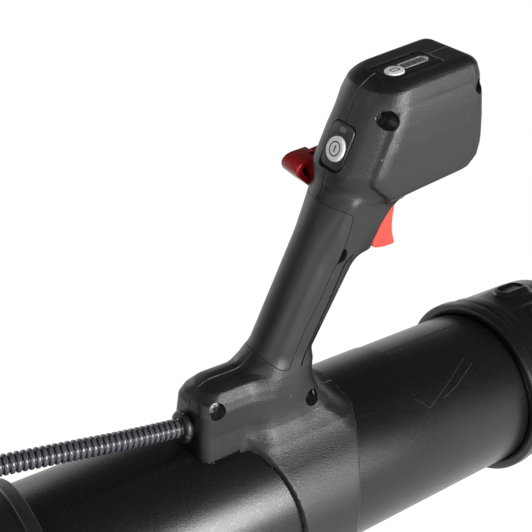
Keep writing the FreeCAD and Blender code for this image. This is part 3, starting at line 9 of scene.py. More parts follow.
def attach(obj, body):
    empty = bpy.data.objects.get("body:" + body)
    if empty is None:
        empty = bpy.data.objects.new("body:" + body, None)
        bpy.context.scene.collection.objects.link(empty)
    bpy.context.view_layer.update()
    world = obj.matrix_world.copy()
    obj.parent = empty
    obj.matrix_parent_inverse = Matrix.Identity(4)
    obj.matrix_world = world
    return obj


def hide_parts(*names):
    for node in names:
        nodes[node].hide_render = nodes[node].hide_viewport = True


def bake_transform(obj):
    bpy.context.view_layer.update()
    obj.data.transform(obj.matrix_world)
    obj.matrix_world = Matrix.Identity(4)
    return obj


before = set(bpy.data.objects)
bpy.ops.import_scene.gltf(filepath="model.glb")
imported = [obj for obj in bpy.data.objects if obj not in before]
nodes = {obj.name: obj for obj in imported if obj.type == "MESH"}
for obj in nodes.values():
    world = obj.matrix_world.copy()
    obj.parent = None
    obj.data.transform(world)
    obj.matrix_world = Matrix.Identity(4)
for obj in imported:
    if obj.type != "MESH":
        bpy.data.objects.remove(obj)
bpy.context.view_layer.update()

# Camera, above and behind the blower pipe on the wearer's right, looking forward and down at the handle
camera_data = bpy.data.cameras.new("camera")
photo_side_px = 532.0
focal_length_px = 950.0
camera_data.sensor_width = 36.0
camera_data.lens = focal_length_px / photo_side_px * camera_data.sensor_width
camera_data.clip_end = 30.0


def placed(name, data):
    """A new object in the scene."""
    thing = bpy.data.objects.new(name, data)
    bpy.context.scene.collection.objects.link(thing)
    return thing


camera = placed("camera", camera_data)
camera_right = Vector((0.8174, -0.5734, 0.0549))
camera_up = Vector((0.2542, 0.4446, 0.8589))
camera_matrix = Matrix((camera_right, camera_up, camera_right.cross(camera_up))).transposed().to_4x4()
camera_matrix.translation = (0.3016, -0.5476, 0.5285)
camera.matrix_world = camera_matrix
bpy.context.scene.camera = camera

# Cable conduit: corrugated nylon tube, extruded and moulded into ribs 3 mm apart, that carries the handle's
# cable. It leaves the heel of the handle, passes the clip on the hose, and enters the pack's right side.
TUBE_Y = -0.23
TUBE_Z = 0.15
CONDUIT_FRONT = (
    (0.5, -0.23, 0.2118),
    (0.468, -0.2298, 0.2169),
    (0.43, -0.227, 0.2232),
    (0.392, -0.2225, 0.2275),
    (0.352, -0.219, 0.227),
    (0.316, -0.218, 0.2225),
    (0.288, -0.218, 0.2188),
    (0.26, -0.218, 0.2184),
)
CONDUIT_REAR = (
    (0.2597, -0.218, 0.2184),
    (0.232, -0.218, 0.2186),
    (0.204, -0.218, 0.221),
    (0.174, -0.218, 0.2265),
    (0.145, -0.2178, 0.233),
    (0.116, -0.217, 0.24),
    (0.09, -0.202, 0.2455),
    (0.075, -0.176, 0.249),
    (0.075, -0.146, 0.249),
)
CONDUIT_R = 0.005
CONDUIT_PITCH = 0.003
RIB_DEPTH = 0.001


def line_of(route):
    """Points along the smooth spline that a route's points control."""
    curve = bpy.data.curves.new("route", "CURVE")
    curve.dimensions = "3D"
    curve.resolution_u = 24
    spline = curve.splines.new("NURBS")
    spline.points.add(len(route) - 1)
    for point, place in zip(spline.points, route):
        point.co = (*place, 1.0)
    spline.order_u = 3
    spline.use_endpoint_u = True
    holder = placed("route", curve)
    bpy.context.view_layer.update()
    drawn = bpy.data.meshes.new_from_object(holder.evaluated_get(bpy.context.evaluated_depsgraph_get()))
    points = np.array([vertex.co for vertex in drawn.vertices])
    bpy.data.objects.remove(holder)
    bpy.data.meshes.remove(drawn)
    return points


def along_line(points, step):
    """Places, directions and total length of a line, in even steps."""
    lengths = np.concatenate(([0.0], np.cumsum(np.linalg.norm(np.diff(points, axis=0), axis=1))))
    places = np.linspace(0.0, lengths[-1], max(2, round(lengths[-1] / step) + 1))
    line = np.stack([np.interp(places, lengths, points[:, axis]) for axis in range(3)], axis=1)
    directions = np.gradient(line, axis=0)
    return line, directions / np.linalg.norm(directions, axis=1)[:, None], lengths[-1]


def new_piece(name, points, faces, smooth=True):
    """A mesh object from points in metres."""
    mesh = bpy.data.meshes.new(name)
    mesh.from_pydata([tuple(map(float, point)) for point in points], [],
        [tuple(map(int, face)) for face in faces])
    mesh.validate()
    mesh.update()
    mesh.polygons.foreach_set("use_smooth", [smooth] * len(mesh.polygons))
    return placed(name, mesh)


def grid_faces(rows, columns, closed=True, looped=False):
    """Quads over rows of points. Closed joins the last column to the first, and looped the last row."""
    strips = np.arange(rows if looped else rows - 1)
    row, column = np.meshgrid(strips, np.arange(columns if closed else columns - 1), indexing="ij")
    after = (column + 1) % columns
    here, below = row * columns, (row + 1) % rows * columns
    return np.stack([here + column, here + after, below + after, below + column], axis=-1).reshape(-1, 4)


def capped(rows, columns):
    """Quads over closed rows of points, and a face over the first row and the last."""
    ends = [list(range(columns)), [(rows - 1) * columns + column for column in range(columns)]]
    return grid_faces(rows, columns).tolist() + ends


def tube_piece(name, line, directions, radii, sides=28, over=(0.0, 0.0, 1.0)):
    """A tube along a line with a radius at each place; no part of the line runs along the over direction."""
    across = np.cross(directions, over)
    across /= np.linalg.norm(across, axis=1)[:, None]
    raised = np.cross(across, directions)
    turn = np.linspace(0.0, math.tau, sides, endpoint=False)
    sideways = np.cos(turn)[None, :, None] * across[:, None, :]
    upwards = np.sin(turn)[None, :, None] * raised[:, None, :]
    points = line[:, None, :] + radii[:, None, None] * (sideways + upwards)
    faces = [list(face)[::-1] for face in grid_faces(len(line), sides)]
    faces.append(list(range(sides)))
    faces.append([(len(line) - 1) * sides + side for side in range(sides)][::-1])
    return new_piece(name, points.reshape(-1, 3), faces)


def ribbed_radii(length, step, pitch, crest, depth):
    """The radius at each step along a ribbed tube, with round crests and narrower round valleys."""
    count = round(length / pitch)
    places = np.linspace(0.0, count, max(2, round(length / step) + 1))
    wave = 0.5 - 0.5 * np.cos(places * math.tau)
    return crest - depth * (1.0 - wave) ** 3.2


def linear(hexed):
    """A colour written as sRGB hex, turned linear."""
    parts = [int(hexed[place : place + 2], 16) / 255.0 for place in (1, 3, 5)]
    return (*[part / 12.92 if part <= 0.04045 else ((part + 0.055) / 1.055) ** 2.4 for part in parts], 1.0)


def node(material, kind, settings=None, **links):
    """Adds a node with its settings, and links its inputs to other nodes' outputs."""
    made = material.node_tree.nodes.new("ShaderNode" + kind)
    for name, value in (settings or {}).items():
        if isinstance(name, str) and hasattr(made, name):
            setattr(made, name, value)
        else:
            made.inputs[name].default_value = value
    for name, source in links.items():
        socket = made.inputs[int(name[1:]) if name[0] == "_" and name[1:].isdigit()
            else name.replace("_", " ")]
        material.node_tree.links.new(source, socket)
    return made


def new_material(name, **settings):
    """A material with its shader's uniform settings written on the shader itself."""
    material = bpy.data.materials.new(name)
    material.use_nodes = True
    shader = material.node_tree.nodes["Principled BSDF"]
    for key, value in settings.items():
        value = linear(value) if isinstance(value, str) else value
        shader.inputs[key.replace("_", " ")].default_value = value
    return material, shader


def grained(name, low, high, gloss, grain, relief=0.0, mottle=0.0, **settings):
    """A material with a fine grain in its tone, roughness and relief; grain and relief in millimetres."""
    material, shader = new_material(name, **settings)
    place = node(material, "TexCoord")
    fine = node(material, "TexNoise", {"Scale": 1000.0 / grain, "Detail": 3.0},
        Vector=place.outputs["Object"])
    broad = node(material, "TexNoise", {"Scale": 1000.0 / (grain * 40.0), "Detail": 4.0},
        Vector=place.outputs["Object"])
    blend = node(material, "Mix", {"data_type": "FLOAT", 0: mottle}, _2=fine.outputs[0], _3=broad.outputs[0])
    spread = node(material, "MapRange", {"From Min": 0.35, "From Max": 0.65}, Value=blend.outputs[0])
    tone = node(material, "Mix", {"data_type": "RGBA", 6: linear(low), 7: linear(high)},
        _0=spread.outputs[0])
    material.node_tree.links.new(tone.outputs[2], shader.inputs["Base Color"])
    rough = node(material, "MapRange", {"To Min": gloss[0], "To Max": gloss[1]}, Value=spread.outputs[0])
    material.node_tree.links.new(rough.outputs[0], shader.inputs["Roughness"])
    if relief:
        bump = node(material, "Bump", {"Distance": relief / 1000.0}, Height=fine.outputs[0])
        material.node_tree.links.new(bump.outputs[0], shader.inputs["Normal"])
    return material


def overlaid(material, hexed, share):
    """Lays a colour over a material's own, as much as a share says at each place."""
    skin = material.node_tree.nodes["Principled BSDF"].inputs["Base Color"]
    laid = node(material, "Mix", {"data_type": "RGBA", 7: linear(hexed)}, _0=share,
        _6=skin.links[0].from_socket)
    material.node_tree.links.new(laid.outputs[2], skin)


def wear_dress(piece, material, body=None):
    """Gives a piece its material, and the body it rides on if one is given."""
    piece.data.materials.clear()
    piece.data.materials.append(material)
    if body:
        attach(piece, body)
    return piece


# Nylon, extruded: near black in the valleys between the ribs, with a painted highlight of grey on their
# crests
conduit_nylon = grained("black_extruded_nylon", "#0D0C0E", "#1B1A1F", gloss=(0.2, 0.32), grain=2.4,
    relief=0.04, mottle=0.2, IOR=1.53)
# Painted highlight: rib crests, found by their pointiness, get a pale grey that stands in for the light on
# them
crest = node(conduit_nylon, "NewGeometry")
painted_crest_highlight = node(conduit_nylon, "MapRange", {"From Min": 0.5, "From Max": 0.56},
    Value=crest.outputs["Pointiness"])
overlaid(conduit_nylon, "#55535A", painted_crest_highlight.outputs[0])

for name, route, before, after, start, end in (
    ("corrugated_conduit_front", CONDUIT_FRONT, "hose_middle", "tube", 0.275, 0.385),
    ("corrugated_conduit_rear", CONDUIT_REAR, "pack", "hose_middle", 0.13, 0.235),
):
    step = CONDUIT_PITCH / 8
    line, directions, length = along_line(line_of(route), step)
    radii = ribbed_radii(length, step, CONDUIT_PITCH, CONDUIT_R, RIB_DEPTH)[: len(line)]
    conduit = tube_piece(name, line, directions, radii)
    conduit.data.materials.append(conduit_nylon)
    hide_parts(name.replace("corrugated_", ""))
    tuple(route[0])
    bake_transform(conduit)

# Swivel pipe: straight blower pipe of black polypropylene, injection moulded in two halves of a tool, so a
# fine parting line runs along it. A blank label pad stands a little proud beside the handle, and use has
# scratched it.
PIPE_R = 0.05
PIPE_BORE = 0.048


def turned_piece(name, profile, sides=160, at=(0.0, TUBE_Y, TUBE_Z), relief=None):
    """A closed outline of (x, radius) turned round the tube's axis; relief adds to the radius in places."""
    turn = np.linspace(0.0, math.tau, sides, endpoint=False)
    profile = np.array(profile)
    x = np.repeat(profile[:, 0][:, None], sides, axis=1)
    radius = np.repeat(profile[:, 1][:, None], sides, axis=1)
    if relief is not None:
        radius = radius + relief(x, np.repeat(turn[None, :], len(profile), axis=0), radius)
    points = np.stack([x + at[0], at[1] - radius * np.cos(turn), at[2] + radius * np.sin(turn)], axis=-1)
    return new_piece(name, points.reshape(-1, 3), grid_faces(len(profile), sides, looped=True)[:, ::-1])


def eased(profile, radius=0.0006, steps=3):
    """A closed outline with each of its corners rounded a little."""
    rounded = []
    count = len(profile)
    for place in range(count):
        before, corner, after = [np.array(profile[(place + shift) % count]) for shift in (-1, 0, 1)]
        back, ahead = before - corner, after - corner
        reach = min(radius, 0.4 * np.linalg.norm(back), 0.4 * np.linalg.norm(ahead))
        start = corner + back / np.linalg.norm(back) * reach
        end = corner + ahead / np.linalg.norm(ahead) * reach
        for share in np.linspace(0.0, 1.0, steps + 1):
            rounded.append(start * (1 - share) ** 2 + corner * 2 * share * (1 - share) + end * share**2)
    return np.array(rounded)


# Polypropylene, moulded: black with a satin skin, fine spark texture, and pale scratches from use
satin_pipe = grained("black_moulded_polypropylene", "#0A0A0B", "#111112", gloss=(0.24, 0.36), grain=0.6,
    relief=0.07, mottle=0.2, IOR=1.49)
place = node(satin_pipe, "TexCoord")
lean = node(satin_pipe, "Mapping", {"Rotation": (0.5, 0.9, 0.35), "Scale": (5.0, 46.0, 5.0)},
    Vector=place.outputs["Object"])
wander = node(satin_pipe, "TexNoise", {"Scale": 1.7, "Detail": 4.0, "Roughness": 0.62},
    Vector=lean.outputs[0])
thread = node(satin_pipe, "Math", {"operation": "SUBTRACT", 1: 0.5}, _0=wander.outputs[0])
apart = node(satin_pipe, "Math", {"operation": "ABSOLUTE"}, _0=thread.outputs[0])
scratch = node(satin_pipe, "MapRange", {"From Min": 0.0, "From Max": 0.0016, "To Min": 1.0, "To Max": 0.0},
    Value=apart.outputs[0])
patches = node(satin_pipe, "TexNoise", {"Scale": 9.0, "Detail": 1.0}, Vector=place.outputs["Object"])
where = node(satin_pipe, "MapRange", {"From Min": 0.56, "From Max": 0.66}, Value=patches.outputs[0])
marks = node(satin_pipe, "Math", {"operation": "MULTIPLY"}, _0=scratch.outputs[0], _1=where.outputs[0])
overlaid(satin_pipe, "#34322F", marks.outputs[0])

pipe_start, pipe_end = 0.388, 0.7585
pipe_wall = [(pipe_start, PIPE_BORE), (pipe_end, PIPE_BORE), (pipe_end, PIPE_R), (pipe_start, PIPE_R)]
pipe = turned_piece("blower_pipe", eased(pipe_wall))
wear_dress(pipe, satin_pipe, "tube")
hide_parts("swivel_pipe")


def pipe_skin(name, start, end, low, high, proud, steps=(2, 48)):
    """A thin raised field on the pipe between two places along it and two angles, with eased edges."""
    rows = []
    along = np.linspace(start, end, steps[0] + 2)
    angles = np.radians([low, low + 0.2, *np.linspace(low + 0.4, high - 0.4, steps[1]), high - 0.2, high])
    edge = 0.00025
    for x in (start, start + edge, *along[1:-1], end - edge, end):
        rim = x in (start, end)
        ring = []
        for place, angle in enumerate(angles):
            low_edge = rim or place in (0, len(angles) - 1)
            radius = PIPE_R - 0.0002 if low_edge else PIPE_R + proud
            ring.append((x, TUBE_Y - radius * math.cos(angle), TUBE_Z + radius * math.sin(angle)))
        rows.append(ring)
    points = np.array(rows)
    piece = new_piece(name, points.reshape(-1, 3), grid_faces(len(rows), len(angles), closed=False)[:, ::-1])
    piece.data.set_sharp_from_angle(angle=math.radians(20.0))
    wear_dress(piece, satin_pipe, "tube")
    return piece


HANDLE_X = 0.56
pipe_skin("label_pad", HANDLE_X + 0.03, HANDLE_X + 0.078, 60.0, 141.0, 0.0006)
pipe_skin("pipe_parting_line", HANDLE_X + 0.0784, 0.735, 100.4, 101.2, 0.0001, steps=(2, 3))
pipe_skin("pipe_parting_line_far", HANDLE_X + 0.034, 0.735, 280.4, 281.2, 0.0001, steps=(2, 3))
# Deep scratches from use: the skin is scraped pale along crooked lines. Each point is a place along the pipe
# and an angle.
scraped, _ = new_material("scraped_polypropylene", Base_Color="#33312F", Roughness=0.5, IOR=1.49)
SCRATCH_R = PIPE_R + 0.00003
PIPE_SCRATCHES = (
    ((0.1205, 69.7), (0.0963, 56.7), (0.0786, 47.9), (0.072, 57.0)),
    ((0.123, 64.0), (0.101, 53.0), (0.09, 50.0)),
    ((0.1356, 27.3), (0.1187, 19.6), (0.1016, 9.6), (0.083, -3.8)),
    ((0.143, 24.0), (0.14, 20.5)),
)
for number, scratch_line in enumerate(PIPE_SCRATCHES):
    turned = [(HANDLE_X + x, math.radians(turn)) for x, turn in scratch_line]
    run = [(x, TUBE_Y - SCRATCH_R * math.cos(turn), TUBE_Z + SCRATCH_R * math.sin(turn))
        for x, turn in turned]
    run, ahead, _ = along_line(np.array(run), 0.002)
    outward = (run - (0.0, TUBE_Y, TUBE_Z)) * (0.0, 1.0, 1.0)
    outward /= np.linalg.norm(outward, axis=1)[:, None]
    run = run * (1.0, 0.0, 0.0) + (0.0, TUBE_Y, TUBE_Z) + outward * SCRATCH_R
    half = np.cross(outward, ahead) * 0.00014
    edges = np.stack((run - half, run + half), axis=1)
    scrape = new_piece(f"pipe_scratch_{number}", edges.reshape(-1, 3), grid_faces(len(run), 2, closed=False))
    wear_dress(scrape, scraped, "tube")

# Extension pipe: the next blower pipe, same polypropylene. Its wide collar pushes over the swivel pipe and
# locks by a bayonet, whose rimmed bosses stand round the collar; a groove behind the lip carries the seal.
SLEEVE_R = 0.0503
BOSS_TURNS = np.radians((105.0, 72.0, -12.0, -102.0, 168.0))


def rise(value, low, high):
    """0 below low, 1 above high, smooth between."""
    share = np.clip((value - low) / (high - low), 0.0, 1.0)
    return share * share * (3 - 2 * share)


def collar_outside(mouth, shoulder_end):
    """Places along a collar and its outer radius there: lip, groove, body, shoulder."""
    return (
        (mouth, 0.0556),
        (mouth + 0.001, 0.0566),
        (mouth + 0.006, 0.0569),
        (mouth + 0.0072, 0.0562),
        (mouth + 0.0078, 0.0549),
        (mouth + 0.012, 0.0547),
        (mouth + 0.0128, 0.0556),
        (mouth + 0.018, 0.0558),
        (mouth + 0.0192, 0.055),
        (mouth + 0.06, 0.0546),
        (mouth + 0.07, 0.054),
        (shoulder_end, 0.0501),
        (shoulder_end + 0.004, 0.05),
    )


def boss_relief(mouth):
    """Raised bosses with a rim and a hollow, and a ramp up to each from behind the lip."""

    def relief(x, turn, radius):
        total = np.zeros_like(x)
        for middle in BOSS_TURNS:
            around = (turn - middle + math.pi) % math.tau - math.pi
            across = around * 0.0545
            along = x - (mouth + 0.042)
            reach = np.hypot(np.maximum(np.abs(along) - 0.006, 0.0), across)
            rim = 1.0 - rise(reach, 0.0062, 0.0085)
            hollow = 1.0 - rise(reach, 0.003, 0.0046)
            ramp_along = rise(x, mouth + 0.0195, mouth + 0.04)
            ramp_along *= 1.0 - rise(x, mouth + 0.047, mouth + 0.056)
            ramp = ramp_along * (1.0 - rise(np.abs(across), 0.011, 0.015))
            total = np.maximum(total, 0.0016 * ramp + 0.0022 * rim - 0.0018 * hollow)
        return np.where(radius > 0.053, total, 0.0)

    return relief


def collared_pipe(name, mouth, inside, outside_end, sides=288):
    """A pipe with its bayonet collar, turned with fine steps over the collar so that the bosses are round."""
    corners = np.array(collar_outside(mouth, mouth + 0.078))
    places = np.linspace(mouth, corners[-1, 0], 150)
    places = np.unique(np.concatenate((places, corners[:, 0])))
    outside = np.stack((places, np.interp(places, corners[:, 0], corners[:, 1])), axis=1)
    profile = np.concatenate((outside, np.array(outside_end), np.array(inside)))
    return turned_piece(name, profile, sides=sides, relief=boss_relief(mouth))


collar_mouth = 0.7125
extension_end = 1.01
inside = [(extension_end, PIPE_BORE + 0.0004), (extension_end - 0.0004, PIPE_BORE), (0.7905, PIPE_BORE),
    (0.7628, PIPE_BORE), (0.7588, SLEEVE_R), (collar_mouth + 0.0008, SLEEVE_R),
    (collar_mouth, SLEEVE_R + 0.0006)]
outside_end = [(extension_end - 0.0005, PIPE_R), (extension_end, PIPE_R - 0.0005)]
extension = collared_pipe("extension_blower_pipe", collar_mouth, inside, outside_end)
wear_dress(extension, satin_pipe, "extension")
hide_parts("extension_pipe")

# Nozzle: the last pipe, moulded in the same polypropylene and tapering to its mouth. It locks on the
# extension pipe with the same collar, and a ring stiffens its open end.
nozzle_mouth = 0.964
nozzle_end = 1.33
inside = [(nozzle_end, 0.0404), (nozzle_end - 0.016, 0.04), (1.042, PIPE_BORE), (1.0143, PIPE_BORE),
    (1.0103, SLEEVE_R), (nozzle_mouth + 0.0008, SLEEVE_R), (nozzle_mouth, SLEEVE_R + 0.0006)]
outside_end = [(nozzle_end - 0.011, 0.042), (nozzle_end - 0.01, 0.0424), (nozzle_end - 0.008, 0.0448),
    (nozzle_end - 0.007, 0.045), (nozzle_end - 0.0008, 0.045), (nozzle_end, 0.0442)]
nozzle = collared_pipe("tapered_nozzle", nozzle_mouth, inside, outside_end, sides=224)
wear_dress(nozzle, satin_pipe, "nozzle")
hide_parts("nozzle")

# Handle: two half shells of glass filled nylon that meet on the middle plane and clamp round the pipe. The
# head holds the switches, the grip leans back under it, and a long heel behind takes the conduit. Sizes here
# are in millimetres from the middle of the band; each table is one moulded form, and the forms run into each
# other with wide fillets, as they do in the mould.
HEAD_TILT = math.radians(8.5)
HEAD_FOOT = 170.0
# Rows of each form: height, rear, front, half width, rear corner, front corner
HEAD_ROWS = (
    (-3.0, 24.0, 86.0, 22.0, 20.0, 6.0),
    (0.0, 22.0, 91.5, 23.0, 20.0, 6.0),
    (5.0, 18.0, 95.5, 24.0, 20.0, 6.0),
    (11.0, 14.8, 97.2, 24.0, 20.0, 6.0),
    (15.4, 15.4, 97.5, 24.0, 19.0, 6.0),
    (26.0, 21.3, 97.5, 23.8, 19.0, 6.0),
    (36.0, 26.8, 97.5, 23.0, 19.0, 6.0),
    (42.1, 30.2, 97.5, 22.0, 18.0, 6.0),
    (48.0, 33.4, 97.2, 20.6, 17.0, 6.0),
    (52.0, 36.8, 96.5, 19.5, 15.0, 6.0),
    (55.8, 42.5, 95.0, 18.0, 13.0, 6.0),
)
GRIP_ROWS = (
    (64.0, -37.2, -2.0, 13.7, 13.2, 13.2),
    (94.0, -24.6, 9.8, 13.9, 13.4, 13.4),
    (130.0, -9.4, 27.2, 14.2, 13.7, 13.7),
    (172.5, 8.5, 48.0, 14.6, 14.0, 14.0),
    (190.0, 13.8, 52.0, 14.8, 14.2, 14.2),
)
NOSE_ROWS = (
    (141.0, 8.0, 36.0, 11.0, 6.0, 5.0),
    (144.0, 8.0, 38.5, 13.0, 6.0, 5.0),
    (150.0, 9.0, 40.5, 14.0, 6.0, 6.0),
    (158.0, 10.0, 43.0, 15.0, 6.0, 6.0),
    (166.0, 12.0, 48.0, 15.6, 6.0, 6.0),
    (176.0, 15.0, 58.0, 17.0, 6.0, 6.0),
)
HEEL_ROWS = (
    (44.0, -63.5, 0.0, 17.8, 6.0, 9.0),
    (54.0, -63.5, 0.0, 16.4, 6.0, 9.0),
    (62.0, -63.3, 0.0, 15.2, 6.0, 9.0),
    (75.0, -62.5, 0.0, 14.8, 6.5, 9.0),
    (80.0, -61.0, -2.0, 13.2, 8.0, 9.0),
    (84.5, -57.5, -6.0, 10.2, 9.0, 9.0),
    (87.0, -53.0, -10.0, 6.5, 6.0, 6.0),
)
SADDLE_ROWS = (
    (40.0, -33.0, 30.0, 31.0, 10.0, 10.0),
    (50.0, -33.0, 27.0, 26.0, 10.0, 10.0),
    (58.0, -31.0, 18.0, 20.0, 10.0, 10.0),
    (66.0, -30.0, 12.0, 17.0, 10.0, 10.0),
    (76.0, -29.0, 9.0, 14.5, 10.0, 10.0),
    (88.0, -26.0, 8.0, 13.5, 10.0, 10.0),
)
BAND_OUTER = 53.9
BAND_INNER = 50.3
# Raised plain field on each side of the head
FIELD_OUTLINE = ((32.5, 211.5), (28.0, 200.5), (23.3, 187.6), (24.2, 184.6), (31.0, 179.0), (44.0, 166.0),
                 (120.0, 166.0), (120.0, 231.0), (78.0, 226.2), (59.0, 223.6), (43.5, 222.0), (36.0, 219.5))
FIELD_HEIGHT = 1.4


def stack_distance(x, y, z, rows, edge):
    """Distance to one form: rounded rectangles that change with height, and rounded ends."""
    rows = np.array(rows)
    height = np.clip(z, rows[0, 0], rows[-1, 0])
    rear, front, half, rear_corner, front_corner = [np.interp(height, rows[:, 0], rows[:, k])
        for k in range(1, 6)]
    middle = (rear + front) / 2
    corner = np.where(x < middle, rear_corner, front_corner)
    out_x = np.abs(x - middle) - (front - rear) / 2 + corner
    out_y = np.abs(y) - half + corner
    flat = np.minimum(np.maximum(out_x, out_y), 0) + np.hypot(np.maximum(out_x, 0),
        np.maximum(out_y, 0)) - corner + edge
    tall = np.maximum(rows[0, 0] - z, z - rows[-1, 0]) + edge
    return np.minimum(np.maximum(flat, tall), 0) + np.hypot(np.maximum(flat, 0), np.maximum(tall, 0)) - edge


def filleted(first, second, width):
    """Two forms run together with a fillet."""
    share = np.clip(0.5 + 0.5 * (second - first) / width, 0, 1)
    return second * (1 - share) + first * share - width * share * (1 - share)


def outline_distance(x, z, outline):
    """Signed distance to a flat outline, less than 0 inside."""
    nearest = np.full(np.shape(x), 1e9)
    inside = np.zeros(np.shape(x), bool)
    for (ax, az), (bx, bz) in zip(outline, outline[1:] + outline[:1]):
        run_x, run_z = bx - ax, bz - az
        share = np.clip(((x - ax) * run_x + (z - az) * run_z) / (run_x**2 + run_z**2), 0, 1)
        nearest = np.minimum(nearest, np.hypot(x - ax - share * run_x, z - az - share * run_z))
        crossed = ((az > z) != (bz > z)) & (x < run_x * (z - az) / (run_z if run_z else 1e-9) + ax)
        inside ^= crossed
    return np.where(inside, -nearest, nearest)


def handle_distance(x, y, z):
    """Distance to the outside of the whole handle."""
    head_x = x * math.cos(HEAD_TILT) + (z - HEAD_FOOT) * math.sin(HEAD_TILT)
    head_z = -x * math.sin(HEAD_TILT) + (z - HEAD_FOOT) * math.cos(HEAD_TILT)
    head = stack_distance(head_x, y, head_z, HEAD_ROWS, 4.0)
    low_field = rise(outline_distance(x, z, FIELD_OUTLINE), -0.8, 0.9)
    head = head + FIELD_HEIGHT * low_field * rise(np.abs(y), 11.0, 20.0) * (1.0 - rise(head_z, 39.0, 47.0))
    form = filleted(head, stack_distance(x, y, z, GRIP_ROWS, 2.0), 6.0)
    form = filleted(form, stack_distance(x, y, z, NOSE_ROWS, 3.0), 6.0)
    low = filleted(stack_distance(x, y, z, HEEL_ROWS, 3.0), stack_distance(x, y, z, SADDLE_ROWS, 3.0), 10.0)
    form = filleted(form, low, 8.0)
    around = np.maximum(0, np.abs(y) - 18.0)
    ring = np.maximum(np.hypot(y, z) - BAND_OUTER,
        np.maximum(-x - 33.0 + 0.35 * around, x - 31.5 + 0.5 * around))
    lug = np.maximum(np.maximum(np.abs(x + 3.5) - 9.5, np.abs(y) - 7.0), np.abs(z + 57.0) - 5.9)
    ring = filleted(ring, lug, 2.0)
    return np.maximum(filleted(form, ring, 5.0), BAND_INNER - np.hypot(y, z))


def skin_of(distance, low, high, step):
    """The surface where a distance is 0, as even quads drawn onto it."""
    axes = [np.arange(start, end + step, step) for start, end in zip(low, high)]
    coarse = 4
    counts = [len(axis) for axis in axes]
    sparse = [axis[::coarse] + step * (coarse - 1) / 2 for axis in axes]
    rough = distance(*np.meshgrid(*sparse, indexing="ij"))
    field = rough
    for axis, count in enumerate(counts):
        field = np.repeat(field, coarse, axis=axis)
        field = np.take(field, np.arange(count), axis=axis)
    near = np.argwhere(np.abs(field) < 2.2 * coarse * step)
    places = [axes[axis][near[:, axis]] for axis in range(3)]
    field[tuple(near.T)] = distance(*places)
    inside = field < 0
    corners = np.array([(i, j, k) for i in (0, 1) for j in (0, 1) for k in (0, 1)])
    cells = [count - 1 for count in counts]
    mixed = np.zeros(cells, int)
    for i, j, k in corners:
        mixed += inside[i : i + cells[0], j : j + cells[1], k : k + cells[2]]
    found = np.argwhere((mixed > 0) & (mixed < 8))
    index = np.full(cells, -1)
    index[tuple(found.T)] = np.arange(len(found))
    values = np.stack([field[tuple((found + corner).T)] for corner in corners], axis=1)
    total = np.zeros((len(found), 3))
    crossings = np.zeros(len(found))
    for first in range(8):
        for second in range(first + 1, 8):
            if np.abs(corners[first] - corners[second]).sum() != 1:
                continue
            a, b = values[:, first], values[:, second]
            crossed = (a < 0) != (b < 0)
            share = np.where(crossed, a / np.where(crossed, a - b, 1), 0)[:, None]
            along = corners[first] + share * (corners[second] - corners[first])
            total += np.where(crossed[:, None], along, 0)
            crossings += crossed
    start = np.array([axis[0] for axis in axes])
    points = start + (found + total / crossings[:, None]) * step
    nudge = 0.05
    for _ in range(3):
        here = distance(*points.T)
        beside = [distance(*(points + nudge * np.eye(3)[axis]).T) - here for axis in range(3)]
        slope = np.stack(beside, axis=1) / nudge
        moved = points - slope * (here / np.maximum((slope**2).sum(axis=1), 0.2))[:, None]
        points = points + np.clip(moved - points, -0.5 * step, 0.5 * step)
    faces = []
    for axis in range(3):
        one, two = [other for other in range(3) if other != axis]
        shift = np.eye(3, dtype=int)[axis]
        size = [counts[k] - shift[k] for k in range(3)]
        before = inside[: size[0], : size[1], : size[2]]
        after = inside[shift[0] :, shift[1] :, shift[2] :]
        for starts_in, flip in ((True, axis == 1), (False, axis != 1)):
            edges = np.argwhere((before if starts_in else after) & ~(after if starts_in else before))
            edges = edges[(edges[:, one] > 0) & (edges[:, two] > 0)]
            edges = edges[(edges[:, one] < counts[one] - 1) & (edges[:, two] < counts[two] - 1)]
            ring = []
            for back_one, back_two in ((1, 1), (0, 1), (0, 0), (1, 0)):
                cell = edges.copy()
                cell[:, one] -= back_one
                cell[:, two] -= back_two
                ring.append(index[tuple(cell.T)])
            quads = np.stack(ring, axis=1)
            faces.append(quads[:, ::-1] if flip else quads)
    faces = np.concatenate(faces)
    return points, faces[(faces >= 0).all(axis=1)]


def in_handle(points):
    """Handle millimetres to metres in the shared frame."""
    return np.array(points) / 1000.0 + np.array((HANDLE_X, TUBE_Y, TUBE_Z))


def tidy_normals(piece):
    """Turns all of a closed piece's faces outwards."""
    mesh = bmesh.new()
    mesh.from_mesh(piece.data)
    bmesh.ops.recalc_face_normals(mesh, faces=mesh.faces)
    mesh.to_mesh(piece.data)
    mesh.free()
    return piece


def prism(name, outline, low_y, high_y):
    """An outline in the handle's side view, carried across between two widths."""
    points = [(x, y, z) for y in (low_y, high_y) for x, z in outline]
    return tidy_normals(new_piece(name, in_handle(points), capped(2, len(outline)), smooth=False))


def turned_cutter(name, rings, middle, sides=48):
    """A round cutter across the handle: (y, radius) rings about a place in the side view."""
    turn = np.linspace(0, math.tau, sides, endpoint=False)
    points = [(middle[0] + r * math.cos(a), y, middle[1] + r * math.sin(a)) for y, r in rings for a in turn]
    return tidy_normals(new_piece(name, in_handle(points), capped(len(rings), sides), smooth=False))


def apply_all(piece):
    """Bakes a piece's modifiers into its mesh."""
    bpy.context.view_layer.update()
    evaluated = piece.evaluated_get(bpy.context.evaluated_depsgraph_get())
    mesh = bpy.data.meshes.new_from_object(evaluated)
    piece.modifiers.clear()
    old = piece.data
    piece.data = mesh
    bpy.data.meshes.remove(old)


def discard(piece):
    """Removes a piece with its mesh."""
    data = piece.data
    bpy.data.objects.remove(piece)
    bpy.data.meshes.remove(data)


